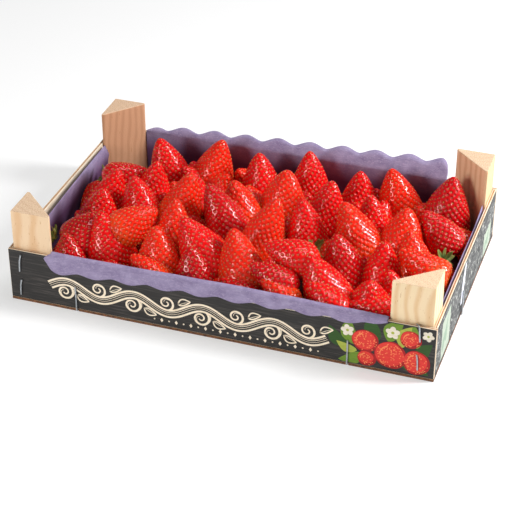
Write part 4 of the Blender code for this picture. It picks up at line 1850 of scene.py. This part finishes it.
    def spray(self, wall: Wall, slot: str) -> list[Piece]:
        """Prints leaves, round fruit and blossoms towards the right end.

        Args:
            wall: The wall.
            slot: Its material slot in the record.

        Returns:
            The pieces.
        """
        leaves = {
            "dark_leaf": [
                (122, 20, 26, 13, 130), (186, 20, 22, 12, 60), (150, 33, 26, 14, 108), (170, 12, 26, 13, -14),
            ],
            "leaf": [
                (128, 24, 27, 14, 100), (158, 34, 26, 15, 60), (184, 32, 24, 14, 98), (136, 16, 24, 12, 206),
            ],
            "pale_leaf": [(170, 30, 25, 12, 70), (131, 18, 20, 9, 160), (176, 22, 22, 11, -40)],
        }
        made, lift = [], 0.03
        for name, rows in leaves.items():
            layer = InkLayer(wall, INKS[name], lift)
            for x, z, length, width, turn in rows:
                layer.shape(self.clipped(self.leaf_outline(x, z, length, width, turn)))
            made.append(layer.piece(f"{wall.value}_print_{name}", slot))
            lift = layer.lift + INK_OVER
        fruits = (
            (138, 30, 12.0, 11.5), (161, 20, 14.5, 14.0), (184, 17, 12.0, 12.5),
            (140, 12, 8.5, 8.0), (178, 40, 9.5, 9.0),
        )
        edge = InkLayer(wall, INKS["dark_red"], lift)
        red = InkLayer(wall, INKS["red"], lift + INK_OVER)
        glow = InkLayer(wall, INKS["orange"], lift + 2 * INK_OVER)
        rng = random.Random(3)
        for x, z, wide, high in fruits:
            edge.shape(self.clipped(self.disc(x, z, wide, high, 0, 36, 0.02)))
            red.shape(self.clipped(self.disc(x - 0.9, z + 0.8, wide - 1.6, high - 1.6, 0, 36, 0.02)))
            for _ in range(int(wide * high * 0.38)):
                a, r = rng.uniform(0, 2 * math.pi), math.sqrt(rng.uniform(0, 0.8))
                place = (x + r * wide * math.cos(a), z + r * high * math.sin(a))
                glow.shape(self.clipped(self.disc(*place, 0.75, 0.45, rng.uniform(0, 180), 8)))
            sweep = np.linspace(1.9, 3.3, 12)
            arc = [(x + 0.66 * wide * math.cos(a), z + 0.66 * high * math.sin(a)) for a in sweep]
            glow.ribbon(self.clipped(arc), 1.6, 0.5)
        made.extend(
            layer.piece(f"{wall.value}_print_fruit_{name}", slot)
            for layer, name in ((edge, "edge"), (red, "field"), (glow, "glow"))
        )
        petals = InkLayer(wall, INKS["blossom"], glow.lift + INK_OVER)
        hearts = InkLayer(wall, INKS["pale_leaf"], glow.lift + 2 * INK_OVER + 0.005)
        for x, z, size in ((122, 38, 5.2), (162, 44, 5.6), (193, 47, 4.6)):
            for k in range(5):
                a = 2 * math.pi * k / 5 + 0.4 + x
                place = (x + size * 0.62 * math.cos(a), z + size * 0.62 * math.sin(a))
                petal = self.disc(*place, size * 0.55, size * 0.46, math.degrees(a))
                petals.shape(self.clipped(petal))
            hearts.shape(self.disc(x, z, size * 0.26, size * 0.26, 0, 14))
        made.append(petals.piece(f"{wall.value}_print_petals", slot))
        made.append(hearts.piece(f"{wall.value}_print_hearts", slot))
        return made

    def clipped(self, outline: Iterable[Sequence[float]]) -> Outline:
        """Keeps an outline inside the wall's printed face."""
        half, (low, high) = self.print_half, self.print_z
        return [(min(max(x, -half), half), min(max(z, low), high)) for x, z in outline]

    def labels(self, wall: Wall, slot: str) -> list[Piece]:
        """Prints the pale leaf shapes of an end wall.

        Args:
            wall: The wall.
            slot: Its material slot in the record.

        Returns:
            The pieces.
        """
        pale = InkLayer(wall, INKS["mist"])
        for low, high, top in ((-101.0, -69.0, 46.0), (74.0, 106.0, 30.0)):
            pale.shape([(low, 6.0), (high, 6.0), (high, top), (low, top)])
        deep = InkLayer(wall, INKS["sage"], pale.lift + INK_OVER)
        for x, z, size, turn in ((-96, 12, 26, 55), (-84, 16, 24, 80), (78, 10, 20, 30), (92, 10, 17, 75)):
            deep.shape(self.leaf_outline(x, z, size, size * 0.36, turn))
        mark = InkLayer(wall, INKS["frost"], deep.lift + INK_OVER)
        strip = [(-25, 15), (-20, 14), (-15, 22), (-11, 40), (-9, 53), (-14, 53), (-22, 38)]
        mark.shape(strip)
        return [
            layer.piece(f"{wall.value}_print_{name}", slot)
            for layer, name in ((pale, "pale"), (deep, "deep"), (mark, "mark"))
        ]

    def build(self) -> list[Piece]:
        """Prints all four walls.

        Returns:
            The pieces.
        """
        made = []
        for wall in (Wall.FRONT, Wall.BACK):
            made.extend(self.scroll(wall, "dark_printed_ply"))
            made.append(self.row_of_beads(wall, "dark_printed_ply"))
            made.extend(self.spray(wall, "dark_printed_ply"))
        for wall in (Wall.RIGHT, Wall.LEFT):
            made.extend(self.labels(wall, "grey_printed_ply"))
        return made


# The tray.


@dataclass
class Tray:
    """The wooden tray: base, four walls, four corner posts and the staples."""

    def finishes(self) -> dict[str, Finish]:
        """Gives each CAD node's finish.

        Returns:
            The finishes, by the node's name.
        """
        half_x, half_y, shift = TRAY_X / 2, TRAY_Y / 2, SHIFT_Y
        dark = {"print_dark": "#292726", "print_light": "#5A5450"}
        grey = {"print_dark": "#48494A", "print_light": "#7E807F", "mottled": True}
        straw = ("#EBCFAE", "#D9AC80", "#E8C79F")
        # The back posts' browner and darker copies of the pine are painted shade, with the red light that the
        # fruit throws back.
        brown = ("#CD9B78", "#BA8662", "#D2A480", "#FFF2DC", "#CFAC84")
        tan = ("#E8C59C", "#CE9E74", "#E6C7A2")
        found: dict[str, Finish] = {
            "base_board": BaseEdge("raw_base_ply"),
            "front_panel": RawPly("front_printed_ply", 1, -half_y + shift, -half_y + PLY_T + shift, **dark),
            "back_panel": RawPly("back_printed_ply", 1, half_y + shift, half_y - PLY_T + shift, **dark),
            "right_panel": RawPly("right_printed_ply", 0, half_x, half_x - PLY_T, **grey),
            "left_panel": RawPly("left_printed_ply", 0, -half_x, -half_x + PLY_T, **grey),
            "post_front_left": SawnPine("sawn_pine_front_left", (-150.0, -40.0), 93.5, *straw),
            "post_front_right": SawnPine("sawn_pine_front_right", (240.0, -60.0)),
            "post_back_left": SawnPine("sawn_pine_back_left_painted_shade", (-220.0, 60.0), 88.0, *brown),
            "post_back_right": SawnPine("sawn_pine_back_right_painted_shade", (150.0, 190.0), 93.5, *tan),
        }
        wire = StapleWire("galvanised_staple_wire")
        found.update({name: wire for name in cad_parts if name.startswith("staple_")})
        return found

    def dress(self) -> list[Piece]:
        """Gives every carried-over CAD node its finish.

        Returns:
            The nodes.
        """
        made = []
        for name, finish in self.finishes().items():
            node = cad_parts[name]
            node.data.materials.clear()
            node.data.materials.append(finish.material())
            made.append(node)
        return made


# The studio.


@dataclass
class Studio:
    """Camera, floor and soft light."""

    sensor: float = 36.0
    focal_px: float = 1612.46
    image_px: float = 512.0
    eye: tuple[float, float, float] = (0.4107, -1.2250, 0.8474)
    target: tuple[float, float, float] = (0.01066, -0.04532, 0.0400)

    def camera(self) -> Piece:
        """Sets the camera where the picture was taken from.

        Returns:
            The camera.
        """
        data = bpy.data.cameras.new("camera")
        data.sensor_width = self.sensor
        data.lens = self.sensor * self.focal_px / self.image_px
        data.clip_start, data.clip_end = 0.05, 50.0
        camera = bpy.data.objects.new("camera", data)
        bpy.context.scene.collection.objects.link(camera)
        camera.location = self.eye
        sight = Vector(self.target) - Vector(self.eye)
        camera.rotation_euler = sight.to_track_quat("-Z", "Y").to_euler()
        bpy.context.scene.camera = camera
        return camera

    def softbox(
        self, name: str, azimuth: float, elevation: float, reach: float,
        size: Span, power: float, tint: str,
    ) -> Piece:
        """Hangs a rectangular soft light that faces the tray.

        Args:
            name: The light's name.
            azimuth: Its bearing from the tray, 0 at the front and 90 at the right.
            elevation: Its height over the floor, in degrees.
            reach: How far off it hangs, in metres.
            size: Its two sides, in metres.
            power: Its power in watts.
            tint: Its colour.

        Returns:
            The light.
        """
        data = bpy.data.lights.new(name, "AREA")
        data.shape = "RECTANGLE"
        data.size, data.size_y = size
        data.energy = power
        data.color = linear(tint)[:3]
        light = bpy.data.objects.new(name, data)
        bpy.context.scene.collection.objects.link(light)
        a, e = math.radians(azimuth), math.radians(elevation)
        place = Vector((math.sin(a) * math.cos(e), -math.cos(a) * math.cos(e), math.sin(e))) * reach
        light.location = place + Vector((0.0, 0.0, 0.05))
        light.rotation_euler = (-place).to_track_quat("-Z", "Y").to_euler()
        return light

    def floor(self) -> Piece:
        """Lays a wide white sweep under the tray.

        Returns:
            The floor.
        """
        bm = bmesh.new()
        bmesh.ops.create_grid(bm, x_segments=8, y_segments=8, size=6.0)
        mesh = bpy.data.meshes.new("floor")
        bm.to_mesh(mesh)
        bm.free()
        floor = bpy.data.objects.new("floor", mesh)
        bpy.context.scene.collection.objects.link(floor)
        mesh.materials.append(StudioFloor("white_sweep").material())
        return floor

    def build(self) -> None:
        """Sets up the camera, the lights, the surroundings and the floor."""
        self.camera()
        self.softbox("key_light", 104.0, 34.0, 1.4, (0.32, 0.75), 25.0, "#FFFFFF")
        self.softbox("front_light", -30.0, 20.0, 1.8, (0.5, 0.7), 16.0, "#FFFDFA")
        self.softbox("top_light", 120.0, 78.0, 1.8, (0.7, 0.7), 10.0, "#FFFFFF")
        world = bpy.data.worlds.new("pale_surroundings")
        bpy.context.scene.world = world
        world.use_nodes = True
        sky = world.node_tree.nodes["Background"]
        sky.inputs["Color"].default_value = linear("#F7F9FC")
        sky.inputs["Strength"].default_value = 0.15
        bpy.context.scene.view_settings.view_transform = "Standard"
        self.floor()


def report(pieces: Iterable[Piece]) -> None:
    """Notes each piece and how many faces it has."""
    for piece in pieces:
        NOTES.info("%s: %d faces", piece.name, len(piece.data.polygons))


def main() -> None:
    """Builds the studio and every part of the box in order."""
    logging.basicConfig(level=logging.INFO, format="%(name)s %(message)s")
    Studio().build()
    report(Tray().dress())
    report([Liner().build()])
    report(Ornament().build())
    report(Heap().build())
    report([Calyxes().build()])


if __name__ == "__main__":
    main()
